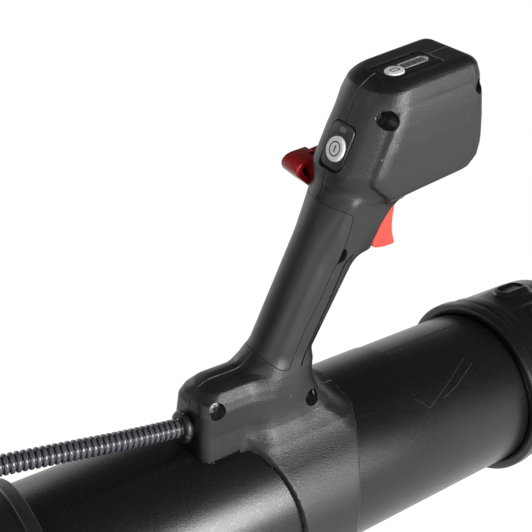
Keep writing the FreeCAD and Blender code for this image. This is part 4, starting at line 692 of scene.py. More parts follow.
def cut_with(piece, cutters, operation="DIFFERENCE"):
    """Cuts or keeps a piece by solid cutters, one after another, and removes them."""
    for cutter in cutters:
        modifier = piece.modifiers.new("cut", "BOOLEAN")
        modifier.operation = operation
        modifier.solver = "EXACT"
        modifier.object = cutter
        apply_all(piece)
    for cutter in cutters:
        discard(cutter)


HANDLE_SCREWS = ((31.1, 215.9, 9.0), (86.8, 224.9, 12.0), (13.6, 146.8, 8.4), (-54.1, 77.2, 8.6),
    (2.9, 65.6, 9.0))
RECESS_R = 4.25
REAR_LEAN = math.radians(20.5)
POWER_AT = (16.9, -0.8, 199.6)
CHECK_AT = (54.4, -1.9, 234.55)
RUBBER_OUTLINE = ((-60.0, 101.0), (-36.0, 96.6), (-24.8, 94.6), (-23.0, 93.0), (-21.1, 91.4), (-18.6, 89.6),
    (-16.3, 88.3), (-14.2, 87.8), (-12.4, 88.2), (-10.6, 90.4), (-7.3, 97.4), (-3.3, 108.4), (4.7, 123.5),
    (12.0, 140.4), (15.8, 152.0), (17.9, 161.5), (18.5, 166.0), (18.3, 168.2), (17.1, 169.8), (13.8, 171.1),
    (10.1, 172.0), (8.5, 172.5), (-10.0, 177.5), (-60.0, 190.0))
GROOVE_LINE = ((21.8, 145.4), (18.5, 141.4), (11.3, 122.2), (5.1, 108.4), (-0.4, 95.2), (-4.6, 87.6))


def on_rear(point):
    """A place on the head's rear face: out of the face, across, up the face."""
    out, across, up = point
    return (POWER_AT[0] - out * math.cos(REAR_LEAN) + up * math.sin(REAR_LEAN), POWER_AT[1] + across,
            POWER_AT[2] + out * math.sin(REAR_LEAN) + up * math.cos(REAR_LEAN))


def on_top(point):
    """A place on the head's top face: forward, across, out of the face."""
    forward, across, out = point
    return (CHECK_AT[0] + forward * math.cos(HEAD_TILT) - out * math.sin(HEAD_TILT), CHECK_AT[1] + across,
            CHECK_AT[2] + forward * math.sin(HEAD_TILT) + out * math.cos(HEAD_TILT))


def round_box(width, height, corner, steps=6):
    """A rounded rectangle about the origin, anticlockwise."""
    points = []
    for quarter, (side_x, side_y) in enumerate(((1, 1), (-1, 1), (-1, -1), (1, -1))):
        for step in range(steps + 1):
            angle = math.radians(90 * (quarter + step / steps))
            x = side_x * (width / 2 - corner) + corner * math.cos(angle)
            points.append((x, side_y * (height / 2 - corner) + corner * math.sin(angle)))
    return points


def on_button(point):
    """A place about the power button: out of the face, across, up the face."""
    return on_rear((point[0], point[1], point[2] - 1.6))


def on_check(point):
    """A place about the check panel: out of the face, forward, across."""
    return on_top((point[1], point[2], point[0]))


def on_check_button(point):
    """A place about the check button: out of the face, forward, across."""
    return on_check((point[0], point[1] - 8.6, point[2] - 1.3))


def levels(name, outlines, to_place):
    """A solid through outlines of equal count, each at its own level, placed on a face of the head."""
    points = [to_place((level, *point)) for level, outline in outlines for point in outline]
    faces = capped(len(outlines), len(outlines[0][1]))
    return tidy_normals(new_piece(name, in_handle(points), faces, smooth=False))


def ring_outline(radius, count=56):
    """A circle about the origin."""
    return [(radius * math.cos(math.tau * k / count), radius * math.sin(math.tau * k / count))
        for k in range(count)]


def side_of(x, z, from_y=-60.0):
    """Where the handle's right side lies, at a place in the side view."""
    tries = np.linspace(from_y, 0.0, 1201)
    found = handle_distance(np.full_like(tries, x), tries, np.full_like(tries, z))
    return tries[np.argmax(found < 0)]


def grip_part(depth):
    """The handle's form at a depth under its skin, cut off a little beyond the grip."""

    def distance(x, y, z):
        ends = np.maximum(np.abs(z - 134.0) - 52.0, np.maximum(np.abs(x) - 46.0, np.abs(y) - 22.0))
        return np.maximum(handle_distance(x, y, z) + depth, ends)

    return distance


points, faces = skin_of(handle_distance, (-72.37, -60.21, -70.43), (102.0, 60.0, 246.0), 1.0)
handle_body = new_piece("handle_body", in_handle(points), faces)
points, faces = skin_of(grip_part(1.3), (-50.3, -25.2, 78.4), (50.0, 25.0, 190.0), 1.0)
rubber_bed = new_piece("rubber_bed", in_handle(points), faces)


def screw_cutter(number, x, z, floor):
    """A screw's recess, with a small easing where it meets the skin."""
    skin = side_of(x, z)
    reach = RECESS_R - (0.9 if x > 80.0 else 0.0)
    rings = ((-60.0, reach + 0.5), (skin - 0.4, reach + 0.5), (skin + 0.5, reach), (-floor, reach - 0.2))
    return turned_cutter(f"recess_{number}", rings, (x, z))


# The outside is cut for screws, panels, buttons, trigger and the rubber, then split on the middle plane
power_well, check_well = ring_outline(6.65), ring_outline(5.15)
cutters = [screw_cutter(number, *screw) for number, screw in enumerate(HANDLE_SCREWS)]
pocket = [(3.4, round_box(17.6, 24.6, 4.4)), (0.15, round_box(17.6, 24.6, 4.4)),
    (-0.5, round_box(16.6, 23.6, 4.0)), (-2.2, round_box(16.4, 23.4, 3.9))]
cutters.append(levels("power_pocket", pocket, on_rear))
pocket = [(6.0, round_box(33.6, 19.0, 2.6)), (0.05, round_box(33.6, 19.0, 2.6)),
    (-0.8, round_box(32.0, 17.4, 1.9)), (-2.2, round_box(31.8, 17.2, 1.8))]
cutters.append(levels("check_pocket", pocket, on_check))
TRIGGER_OPENING = ((33.6, 139.5), (60.0, 136.0), (60.0, 181.0), (41.5, 181.0), (40.0, 170.0), (37.4, 161.0),
    (34.2, 152.0))
cutters.append(prism("trigger_opening", TRIGGER_OPENING, -8.8, 8.8))
cutters.append(levels("power_well", [(-6.4, power_well), (0.0, power_well)], on_button))
cutters.append(levels("check_well", [(-6.0, check_well), (0.0, check_well)], on_check_button))
for number, (start, end) in enumerate(zip(GROOVE_LINE, GROOVE_LINE[1:])):
    start, end = np.array(start), np.array(end)
    ahead = (end - start) / np.linalg.norm(end - start)
    aside = np.array((-ahead[1], ahead[0])) * 0.45
    longer = ahead * 0.25
    strip = [start - longer + aside, end + longer + aside, end + longer - aside, start - longer - aside]
    deep = side_of(*(start + end) / 2) + 1.0
    cutters.append(prism(f"groove_right_{number}", strip, -20.0, deep))
    cutters.append(prism(f"groove_left_{number}", strip, -deep, 20.0))
rubber_space = prism("rubber_space", RUBBER_OUTLINE, -24.0, 24.0)
cut_with(rubber_space, [placed("bed_shape", rubber_bed.data.copy())])
cutters.append(rubber_space)
cut_with(handle_body, cutters)


def half_of(body, name, keep_left):
    """One half shell: the body on one side of the middle plane, 2.4 mm thick, with an eased rim."""
    half = placed(name, body.data.copy())
    mesh = bmesh.new()
    mesh.from_mesh(half.data)
    plane_y = TUBE_Y + (0.0001 if keep_left else -0.0001)
    side = 1.0 if keep_left else -1.0
    for shift in (0.0007, 0.0):
        everything = mesh.verts[:] + mesh.edges[:] + mesh.faces[:]
        last = shift == 0.0
        bmesh.ops.bisect_plane(mesh, geom=everything, plane_co=(0, plane_y + side * shift, 0),
            plane_no=(0, side, 0), clear_inner=last, clear_outer=False, dist=1e-6)
    mesh.normal_update()
    for vertex in mesh.verts:
        if vertex.is_boundary:
            inward = Vector((vertex.normal.x, 0.0, vertex.normal.z))
            vertex.co -= inward * 0.0004
    mesh.to_mesh(half.data)
    mesh.free()
    solid = half.modifiers.new("wall", "SOLIDIFY")
    solid.thickness = 0.0022
    solid.offset = -1.0
    apply_all(half)
    half.data.polygons.foreach_set("use_smooth", [True] * len(half.data.polygons))
    return half


def sharpen(piece, degrees=35.0):
    """Smooth shading that keeps edges sharper than an angle."""
    mesh = bmesh.new()
    mesh.from_mesh(piece.data)
    limit = math.radians(degrees)
    for edge in mesh.edges:
        edge.smooth = not (len(edge.link_faces) == 2 and edge.calc_face_angle(0.0) > limit)
    for face in mesh.faces:
        face.smooth = True
    mesh.to_mesh(piece.data)
    mesh.free()


right_shell = half_of(handle_body, "right_half_shell", False)
left_shell = half_of(handle_body, "left_half_shell", True)
discard(handle_body)
for shell in (right_shell, left_shell):
    sharpen(shell)

# Glass filled nylon, moulded: black, fine spark-eroded grain, satin where hands and boxes have rubbed its
# edges, with a few specks of dust in the grain
handle_nylon = grained("black_glass_filled_nylon", "#0B0B0C", "#171718", gloss=(0.28, 0.5), grain=0.67,
    relief=0.2, mottle=0.25, IOR=1.5)
place = node(handle_nylon, "TexCoord")
specks = node(handle_nylon, "TexVoronoi", {"Scale": 170.0, "Randomness": 1.0},
    Vector=place.outputs["Object"])
dust = node(handle_nylon, "MapRange", {"From Min": 0.04, "From Max": 0.09, "To Min": 1.0, "To Max": 0.0},
    Value=specks.outputs["Distance"])
cloudy = node(handle_nylon, "TexNoise", {"Scale": 45.0, "Detail": 4.0}, Vector=place.outputs["Object"])
some = node(handle_nylon, "MapRange", {"From Min": 0.54, "From Max": 0.62}, Value=cloudy.outputs[0])
dusty = node(handle_nylon, "Math", {"operation": "MULTIPLY"}, _0=dust.outputs[0], _1=some.outputs[0])
worn = node(handle_nylon, "NewGeometry")
edges = node(handle_nylon, "MapRange", {"From Min": 0.52, "From Max": 0.6}, Value=worn.outputs["Pointiness"])
overlaid(handle_nylon, "#2E2D2A", edges.outputs[0])
overlaid(handle_nylon, "#8B8984", dusty.outputs[0])

for shell, side in ((right_shell, "right"), (left_shell, "left")):
    wear_dress(shell, handle_nylon, "tube")
    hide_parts(f"handle_{side}_shell")

# Rubber grip: a panel of thermoplastic rubber, moulded over the back of the grip. It lies flush with the
# shells in its own shallow bed.
inner_outline = []
for number, point in enumerate(RUBBER_OUTLINE):
    before = np.array(RUBBER_OUTLINE[number - 1])
    after = np.array(RUBBER_OUTLINE[(number + 1) % len(RUBBER_OUTLINE)])
    run = (after - before) / np.linalg.norm(after - before)
    inner_outline.append(tuple(np.array(point) + 0.32 * np.array((-run[1], run[0]))))
points, faces = skin_of(grip_part(0.05), (-50.3, -25.2, 78.4), (50.0, 25.0, 190.0), 1.0)
rubber = new_piece("moulded_rubber_grip", in_handle(points), faces)
cut_with(rubber, [prism("rubber_outline", inner_outline, -24.0, 24.0)], "INTERSECT")
cut_with(rubber, [rubber_bed])
sharpen(rubber)

# Thermoplastic rubber, moulded: near black, softer sheen than the nylon, very fine grain, a few pale scuffs
grip_rubber = grained("moulded_soft_rubber", "#0B0B0C", "#151516", gloss=(0.28, 0.46), grain=0.43,
    relief=0.12, mottle=0.6, IOR=1.52)
place = node(grip_rubber, "TexCoord")
streaks = node(grip_rubber, "Mapping", {"Rotation": (0.0, 0.5, 0.0), "Scale": (14.0, 60.0, 60.0)},
    Vector=place.outputs["Object"])
scuff = node(grip_rubber, "TexNoise", {"Scale": 1.6, "Detail": 3.0}, Vector=streaks.outputs[0])
pale = node(grip_rubber, "MapRange", {"From Min": 0.7, "From Max": 0.76}, Value=scuff.outputs[0])
overlaid(grip_rubber, "#242322", pale.outputs[0])
wear_dress(rubber, grip_rubber, "tube")
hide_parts("rubber_grip")

# Handle screws: zinc plated pan heads with cross recesses that draw the two shells together. Five sit at
# the bottom of their wells, and one in the lug of the band.
zinc = grained("zinc_plated_steel", "#7B7B78", "#ACABA6", gloss=(0.24, 0.42), grain=1.1, relief=0.02,
    mottle=0.2, Metallic=1.0)


def facing(piece, axis, place, own="Z"):
    """Turns a piece so that its own axis lies along another, and moves it to a place."""
    piece.data.transform(Vector(axis).to_track_quat(own, "Y").to_matrix().to_4x4())
    piece.data.transform(Matrix.Translation(place))


def cross_head_screw(name, place, axis, material, head_r, shank_r, shank_length, recess=0.55):
    """A domed screw head with a cross recess, facing along an axis, and its shank."""
    rings = [(shank_length, shank_r), (0.0, shank_r), (0.0, head_r), (-0.35 * head_r, head_r),
             (-0.52 * head_r, 0.86 * head_r), (-0.62 * head_r, 0.5 * head_r)]
    sides = 32
    turn = [math.tau * side / sides for side in range(sides)]
    points = [(radius * math.cos(angle), radius * math.sin(angle), depth) for depth, radius in rings
        for angle in turn]
    screw = tidy_normals(new_piece(name, points, capped(len(rings), sides)))
    long, short = recess * head_r, 0.16 * head_r
    for wide, high in ((long, short), (short, long)):
        outline = ((-wide, -high), (wide, -high), (wide, high), (-wide, high))
        corners = [(x, y, z) for z in (-head_r, -0.22 * head_r) for x, y in outline]
        cut_with(screw, [tidy_normals(new_piece("bar", corners, capped(2, 4), smooth=False))])
    facing(screw, axis, place, "-Z")
    sharpen(screw)
    screw.data.materials.append(material)
    return screw


def merged(name, parts):
    """Several loose pieces as one piece of one kind."""
    mesh = bmesh.new()
    material = parts[0].data.materials[0] if parts[0].data.materials else None
    for part in parts:
        mesh.from_mesh(part.data)
    data = bpy.data.meshes.new(name)
    mesh.to_mesh(data)
    mesh.free()
    for part in parts:
        discard(part)
    piece = placed(name, data)
    if material:
        data.materials.append(material)
    return piece


screws = []
for number, (x, z, floor) in enumerate(HANDLE_SCREWS + ((-4.0, -58.4, 4.0),)):
    at = in_handle([(x, -floor, z)])[0]
    screws.append(cross_head_screw(f"handle_screw_{number}", at, (0, -1, 0), zinc, head_r=0.0038,
        shank_r=0.0018, shank_length=0.012))
handle_screws = merged("cross_head_screws", screws)
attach(handle_screws, "tube")
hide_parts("handle_screws")

# Power panel: a dark moulded insert in the head's rear face, with a small window for a lamp and a round white
# button that carries the common on-off sign
panel_black = grained("fine_grained_black_abs", "#111113", "#1A1A1C", gloss=(0.34, 0.46), grain=0.33,
    relief=0.04, mottle=0.2, IOR=1.54)
# Polycarbonate lamp window: smoky grey and glossy
lamp_window = grained("smoked_polycarbonate", "#5C5D60", "#747578", gloss=(0.16, 0.28), grain=0.55,
    relief=0.0, mottle=0.2, IOR=1.58)
# White polycarbonate button, moulded, faintly soiled in its fine grain
button_white = grained("white_moulded_polycarbonate", "#E6E7E8", "#F2F2F3", gloss=(0.3, 0.44), grain=2.0,
    relief=0.0, mottle=0.2, IOR=1.58)
# Pad printing: matt dark ink, and matt pale grey ink, each with a slightly uneven film
dark_ink = grained("dark_pad_printing_ink", "#242527", "#303133", gloss=(0.55, 0.65), grain=0.67)
pale_ink = grained("pale_pad_printing_ink", "#B4B7BB", "#CDD0D3", gloss=(0.55, 0.65), grain=0.67)


def eased_slab(name, outline_at, low, high, edge, to_place):
    """A slab on a face of the head, its upper edge rounded; outline_at gives the outline for a draw-in."""
    stages = [(low, outline_at(0.0)), (high - edge, outline_at(0.0)),
        (high - 0.3 * edge, outline_at(0.3 * edge)), (high, outline_at(edge))]
    return levels(name, stages, to_place)


power_panel = eased_slab("power_panel_insert",
    lambda draw: round_box(15.4 - 2 * draw, 22.4 - 2 * draw, 3.6 - draw), -2.0, -0.35, 0.4, on_rear)
cut_with(power_panel, [levels("button_hole", [(-3.0, power_well), (2.0, power_well)], on_button)])
sharpen(power_panel)
wear_dress(power_panel, panel_black, "tube")
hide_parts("power_panel")
window = eased_slab("power_lamp_window", lambda draw: round_box(4.2 - 2 * draw, 2.6 - 2 * draw, 0.7 - draw),
    -1.0, -0.2, 0.15, lambda point: on_rear((point[0], point[1], point[2] + 8.1)))
wear_dress(window, lamp_window, "tube")

power_button = levels("white_power_button",
    [(-3.6, ring_outline(6.3)), (-0.2, ring_outline(6.3)), (0.25, ring_outline(6.12)),
    (0.5, ring_outline(5.6)), (0.55, ring_outline(5.0))], on_button)
sharpen(power_button, 50.0)
wear_dress(power_button, button_white, "power_button")
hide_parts("power_button")


def frame_band(name, outer, inner, low, high, to_place):
    """A flat closed band of print between two outlines of equal count, on a face of the head."""
    stages = [(low, inner), (high, inner), (high, outer), (low, outer)]
    points = [to_place((level, *point)) for level, outline in stages for point in outline]
    faces = grid_faces(4, len(outer), looped=True)
    return tidy_normals(new_piece(name, in_handle(points), faces, smooth=False))


sign_ring = frame_band("power_sign_ring", ring_outline(3.75), ring_outline(3.1), 0.3, 0.62, on_button)
sign_bar = levels("power_sign_bar", [(0.3, round_box(0.9, 3.6, 0.4)), (0.62, round_box(0.9, 3.6, 0.4))],
    on_button)
sign = merged("power_sign", [sign_ring, sign_bar])
wear_dress(sign, dark_ink, "power_button")

# Battery check panel: the same insert on the head's top face, with a white button and a pale battery outline
# whose four bars light up one by one
check_panel = eased_slab("check_panel_insert",
    lambda draw: round_box(30.8 - 2 * draw, 16.2 - 2 * draw, 1.6 - draw), -2.0, -0.6, 0.35, on_check)
cut_with(check_panel, [levels("check_hole", [(-3.0, check_well), (2.0, check_well)], on_check_button)])
sharpen(check_panel)
wear_dress(check_panel, panel_black, "tube")
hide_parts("check_panel")
check_button = levels("white_check_button",
    [(-3.6, ring_outline(4.9)), (-0.5, ring_outline(4.9)), (-0.1, ring_outline(4.7)),
    (0.0, ring_outline(4.2))], on_check_button)
sharpen(check_button, 50.0)
wear_dress(check_button, button_white, "check_button")
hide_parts("check_button")


def shifted(outline, along, across):
    """An outline moved in its own plane."""
    return [(x + along, y + across) for x, y in outline]


case_outer = shifted(round_box(15.6, 6.2, 1.2), 4.4, 0.2)
case_inner = shifted(round_box(14.2, 4.8, 0.8), 4.4, 0.2)
battery_case_line = frame_band("battery_outline", case_outer, case_inner, -0.7, -0.52, on_check)
pole = shifted(round_box(1.5, 2.8, 0.5), 12.7, 0.2)
battery_pole = levels("battery_pole", [(-0.7, pole), (-0.52, pole)], on_check)
marks = merged("battery_sign", [battery_case_line, battery_pole])
wear_dress(marks, pale_ink, "tube")
bars = []
for number in range(4):
    bar = shifted(round_box(2.6, 3.6, 0.3), -0.6 + 3.35 * number, 0.2)
    bars.append(levels(f"battery_bar_{number}", [(-0.7, bar), (-0.5, bar)], on_check))
wear_dress(merged("battery_sign_bars", bars), lamp_window, "tube")
cell_outer = shifted(round_box(5.0, 3.0, 0.5), 0.2, 0.0)
cell_inner = shifted(round_box(4.0, 2.0, 0.3), 0.2, 0.0)
cell = frame_band("check_sign", cell_outer, cell_inner, -0.05, 0.08, on_check_button)
wear_dress(cell, dark_ink, "check_button")


def round_edges(piece, width, segments, angle):
    """Rounds each edge that turns more than an angle."""
    rounding = piece.modifiers.new("edges", "BEVEL")
    rounding.width = width
    rounding.segments = segments
    rounding.limit_method = "ANGLE"
    rounding.angle_limit = math.radians(angle)
    apply_all(piece)


def moulded_bar(name, outline, low_y, high_y, edge, segments=4):
    """A side-view outline carried across, with every edge rounded."""
    piece = prism(name, outline, low_y, high_y)
    round_edges(piece, edge / 1000.0, segments, 28.0)
    sharpen(piece, 50.0)
    return piece


# Trigger: moulded in orange red acetal, with a shallow curve for two fingers. It turns on its pin under the
# head.
trigger_red = grained("orange_red_acetal", "#EA3C32", "#F4473C", gloss=(0.34, 0.46), grain=0.7, relief=0.03,
    mottle=0.2, IOR=1.48)
shader = trigger_red.node_tree.nodes["Principled BSDF"]
shader.inputs["Subsurface Weight"].default_value = 0.08
shader.inputs["Subsurface Radius"].default_value = (0.002, 0.0007, 0.0005)
TRIGGER_OUTLINE = ((45.0, 178.0), (55.6, 178.0), (55.2, 170.0), (53.8, 162.0), (53.6, 156.0), (54.0, 150.0),
    (55.0, 145.4), (56.4, 142.0), (57.2, 139.8), (56.6, 138.7), (54.6, 138.5), (50.0, 138.6), (44.6, 139.3),
    (42.6, 140.4), (41.4, 144.0), (41.2, 152.0), (42.0, 162.0), (43.0, 170.0))
trigger = moulded_bar("moulded_trigger", TRIGGER_OUTLINE, -8.0, 8.0, 1.3)
wear_dress(trigger, trigger_red, "trigger")
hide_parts("trigger")

# Cruise lever: dark red acetal with a gloss. A flat arm on the left of the head ends behind it in a hollow
# paddle for the thumb, open towards the right
lever_red = grained("dark_red_acetal", "#92100F", "#A8151C", gloss=(0.18, 0.3), grain=1.1, relief=0.03,
    mottle=0.2, IOR=1.48)
PADDLE_OUTLINE = ((24.0, 185.8), (14.5, 184.9), (11.6, 184.0), (9.6, 182.6), (8.7, 180.9), (8.7, 179.0),
    (9.8, 176.9), (12.6, 174.4), (17.0, 170.5), (18.6, 169.7), (20.5, 169.5), (24.0, 170.2))
PADDLE_HOLLOW = ((18.8, 182.8), (14.4, 182.2), (12.6, 181.4), (12.0, 180.0), (12.8, 178.4), (16.0, 175.4),
    (18.8, 172.9))
ARM_OUTLINE = ((52.0, 190.0), (53.4, 196.0), (51.0, 202.0), (47.0, 204.5), (43.6, 203.0), (41.6, 199.0),
    (40.4, 191.4), (36.0, 187.0), (24.0, 185.2), (16.0, 184.4), (13.0, 183.2), (13.6, 176.6), (18.6, 171.6),
    (24.0, 172.6), (44.0, 186.0))
paddle = moulded_bar("lever_paddle", PADDLE_OUTLINE, 17.6, 31.4, 1.1)
cut_with(paddle, [prism("paddle_hollow", PADDLE_HOLLOW, 10.0, 27.6)])
beyond = [(20.4, 160.0), (40.0, 160.0), (40.0, 200.0), (20.4, 200.0)]
cut_with(paddle, [prism("paddle_end", beyond, 0.0, 24.2)])
arm = moulded_bar("lever_arm", ARM_OUTLINE, 24.3, 28.9, 0.7, 3)
cut_with(arm, [prism("arm_hollow", PADDLE_HOLLOW, 20.0, 27.6)])
lever = merged("cruise_lever_blade", [paddle, arm])
sharpen(lever, 50.0)
wear_dress(lever, lever_red, "cruise_lever")
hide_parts("cruise_lever")

# Glands: rimmed collars moulded in black nylon. One is clipped into the handle's heel and one into the
# pack's right side, where the two ends of the conduit enter.
def gland_piece(name, place, axis):
    """A rimmed collar about an axis, with four small notches in its rim."""
    rings = ((0.0, 5.35), (0.0, 7.2), (0.5, 8.0), (1.0, 8.4), (2.4, 8.5), (3.0, 8.2), (3.0, 6.9), (9.0, 6.9),
             (9.0, 8.5), (12.0, 8.5), (12.0, 5.35))
    sides = 72
    points = []
    for along, radius in rings:
        for side in range(sides):
            angle = math.tau * side / sides
            notch = 0.9 if (side % 18 in (0, 1)) and 7.1 < radius and along < 3.1 else 0.0
            reach = (radius - notch) / 1000
            points.append((reach * math.cos(angle), reach * math.sin(angle), along / 1000))
    piece = tidy_normals(new_piece(name, points, grid_faces(len(rings), sides, looped=True)))
    facing(piece, axis, place)
    sharpen(piece, 40.0)
    return piece


GLAND_LEAN = math.radians(9.0)
gland_start = (0.5 - 0.0082 * math.cos(GLAND_LEAN), TUBE_Y, 0.2118 + 0.0082 * math.sin(GLAND_LEAN))
handle_gland = gland_piece("rimmed_handle_gland", gland_start,
    (math.cos(GLAND_LEAN), 0.0, -math.sin(GLAND_LEAN)))
wear_dress(handle_gland, panel_black, "tube")
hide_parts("handle_gland")
pack_gland = gland_piece("rimmed_pack_gland", (0.075, -0.1623, 0.249), (0.0, 1.0, 0.0))
wear_dress(pack_gland, panel_black, "pack")
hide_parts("pack_gland")

# Pieces of the hose, fan and pack follow. These helpers shape moulded and turned pieces anywhere in the frame
def lathe(name, profile, place, axis, sides=48, open_bore=True):
    """A closed outline of (along, radius) turned about an axis through a place."""
    profile = np.array(profile)
    turn = np.linspace(0.0, math.tau, sides, endpoint=False)
    rings = [(r * np.cos(turn), r * np.sin(turn), np.full(sides, along)) for along, r in profile]
    points = np.stack([np.stack(ring, axis=1) for ring in rings]).reshape(-1, 3)
    faces = grid_faces(len(profile), sides, looped=True) if open_bore else capped(len(profile), sides)
    piece = new_piece(name, points, faces)
    facing(piece, axis, place)
    tidy_normals(piece)
    sharpen(piece, 40.0)
    return piece


def facing_x(u, v, level):
    """An outline in Y and Z, thickened along X."""
    return (level, u, v)


def facing_y(u, v, level):
    """An outline in X and Z, thickened along Y."""
    return (u, level, v)


def facing_z(u, v, level):
    """An outline in X and Y, thickened along Z."""
    return (u, v, level)


def moulding(name, outline, to_place, low, high, edge=0.0, segments=3):
    """An outline thickened between two levels, its sharp edges rounded."""
    points = [to_place(u, v, level) for level in (low, high) for u, v in outline]
    piece = tidy_normals(new_piece(name, points, capped(2, len(outline))))
    if edge:
        round_edges(piece, edge, segments, 40.0)
    sharpen(piece, 40.0)
    return piece


def box_outline(low_u, high_u, low_v, high_v, corner=0.0, steps=6):
    """A rectangle between limits, with round corners if a corner radius is given."""
    if not corner:
        return [(low_u, low_v), (high_u, low_v), (high_u, high_v), (low_u, high_v)]
    outline = round_box(high_u - low_u, high_v - low_v, corner, steps)
    return shifted(outline, (low_u + high_u) / 2, (low_v + high_v) / 2)


def slit(name, ends, middle, half, to_place, low, high, edge=0.0, segments=3):
    """A long narrow groove or rib with round ends, to half a width either side of its middle line."""
    outline = box_outline(*ends, middle - half, middle + half, half - 0.0001)
    return moulding(name, outline, to_place, low, high, edge, segments)


def drill(radius, depth, place, axis, sides=48):
    """A round cutter, to a depth either side of a place on its axis."""
    return lathe("drill", [(-depth, radius), (depth, radius)], place, axis, sides, open_bore=False)


# Flexible hose: thermoplastic rubber, blown into ribs over a bore that stays smooth enough for the air. A
# plain cuff at each end is clamped on its pipe, and a moulded band joins the two runs.
hose_rubber = grained("ribbed_thermoplastic_rubber", "#0F0F10", "#1B1B1C", gloss=(0.42, 0.6), grain=1.2,
    relief=0.05, mottle=0.5, IOR=1.5)
HOSE_CREST, HOSE_VALLEY, HOSE_WALL, CUFF_R = 0.0589, 0.0519, 0.0016, 0.0543
for name, low, high, rib_low, rib_high, ribs, before, after, start, end in (
    ("ribbed_hose_rear", 0.088, 0.25985, 0.114, 0.24985, 13, "pack", "hose_middle", 0.13, 0.235),
    ("ribbed_hose_front", 0.26015, 0.411, 0.27015, 0.385, 11, "hose_middle", "tube", 0.275, 0.385),
):
    places = np.linspace(0.0, ribs, ribs * 14 + 1)
    wave = (0.5 - 0.5 * np.cos(places * math.tau)) ** 0.75
    outer = np.stack((rib_low + (rib_high - rib_low) * places / ribs,
        HOSE_VALLEY + (HOSE_CREST - HOSE_VALLEY) * wave), axis=1)
    inner = outer[::-1] - (0.0, HOSE_WALL)
    if before == "pack":
        ahead = [(low, CUFF_R - 0.0008), (low + 0.0008, CUFF_R), (rib_low - 0.001, CUFF_R),
            (rib_low, HOSE_VALLEY)]
        behind = [(high, HOSE_VALLEY), (high, SLEEVE_R)]
        bore = [(rib_low, SLEEVE_R), (low + 0.0006, SLEEVE_R), (low, SLEEVE_R + 0.0006)]
        profile = ahead + outer[1:].tolist() + behind + inner[:-1].tolist() + bore
    else:
        ahead = [(low, SLEEVE_R), (low, HOSE_VALLEY)]
        behind = [(rib_high + 0.001, CUFF_R), (high - 0.0008, CUFF_R), (high, CUFF_R - 0.0008),
            (high, SLEEVE_R + 0.0006), (high - 0.0006, SLEEVE_R)]
        profile = ahead + outer.tolist() + behind + inner.tolist()
    hose = turned_piece(name, profile, sides=128)
    hose.data.materials.append(hose_rubber)
    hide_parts(name.replace("ribbed_", ""))
    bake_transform(hose)

# Hose clamps: black coated steel bands with rolled edges. Their ends are bent out into two ears, which a
# screw draws together over the hose's cuff.
band_steel = grained("black_coated_steel_band", "#0F0F10", "#19191A", gloss=(0.28, 0.42), grain=0.6,
    relief=0.02, mottle=0.3, IOR=1.52)
screw_steel = grained("blackened_steel", "#1A1A1B", "#2B2B2C", gloss=(0.3, 0.5), grain=0.5, relief=0.01,
    mottle=0.3, Metallic=0.8)
for name, middle, body in (("rear_hose_clamp", 0.1, "pack"), ("front_hose_clamp", 0.398, "tube")):
    rolled = [(0.006, 0.0543), (0.006, 0.0561), (0.0055, 0.0566), (0.0047, 0.0564), (0.0042, 0.0557)]
    ring = [(middle - out, radius) for out, radius in rolled]
    ring += [(middle + out, radius) for out, radius in rolled[::-1]]
    strap = turned_piece(f"{name}_ring", ring)
    gap = box_outline(middle - 0.01, middle + 0.01, TUBE_Z - 0.004, TUBE_Z + 0.004)
    cut_with(strap, [moulding("clamp_gap", gap, facing_y, TUBE_Y - 0.08, TUBE_Y - 0.04)])
    ear = shifted(round_box(0.012, 0.0155, 0.003), middle, TUBE_Y - 0.0617)
    ears = [moulding("ear", ear, facing_z, z - 0.0008, z + 0.0008, 0.0003)
        for z in (TUBE_Z - 0.0048, TUBE_Z + 0.0048)]
    clamp = merged(f"{name}_band", [strap] + ears)
    sharpen(clamp)
    wear_dress(clamp, band_steel, body)
    at = (middle, TUBE_Y - 0.0633, TUBE_Z + 0.0056)
    screw = cross_head_screw("clamp_screw", at, (0, 0, 1), screw_steel, head_r=0.0042, shank_r=0.0025,
        shank_length=0.013)
    nut = shifted(ring_outline(0.0042, 6), at[0], at[1])
    nut = moulding("nut", nut, facing_z, TUBE_Z - 0.0096, TUBE_Z - 0.0056, 0.0004)
    fastener = merged(f"{name}_screw", [screw, nut])
    sharpen(fastener)
    wear_dress(fastener, screw_steel, body)
    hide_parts(name)

# Middle band: a ring of black glass filled nylon that joins the hose's two runs and is bonded to both. The
# conduit is pushed into the clip on its top.
band = [(0.251, HOSE_VALLEY), (0.269, HOSE_VALLEY), (0.269, 0.0549), (0.264, 0.056), (0.256, 0.056),
    (0.251, 0.0549)]
band = turned_piece("hose_band_ring", eased(band, 0.0008), sides=128)
clip_y, clip_z, clip_r = -0.218, 0.2184, 0.0078
turns = [math.radians(turn) for turn in range(0, 181, 9)]
arch = [(clip_y + clip_r * math.cos(turn), clip_z + clip_r * math.sin(turn)) for turn in turns]
arch += [(clip_y - clip_r, 0.201), (clip_y + clip_r, 0.201)]
clip = moulding("conduit_clip", arch, facing_x, 0.2515, 0.2685, 0.0008)
cut_with(clip, [drill(0.0053, 0.02, (0.26, clip_y, clip_z), (1, 0, 0))])
sharpen(clip)
hose_band = merged("hose_joining_band", [band, clip])
wear_dress(hose_band, handle_nylon, "hose_middle")
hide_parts("hose_middle_band")

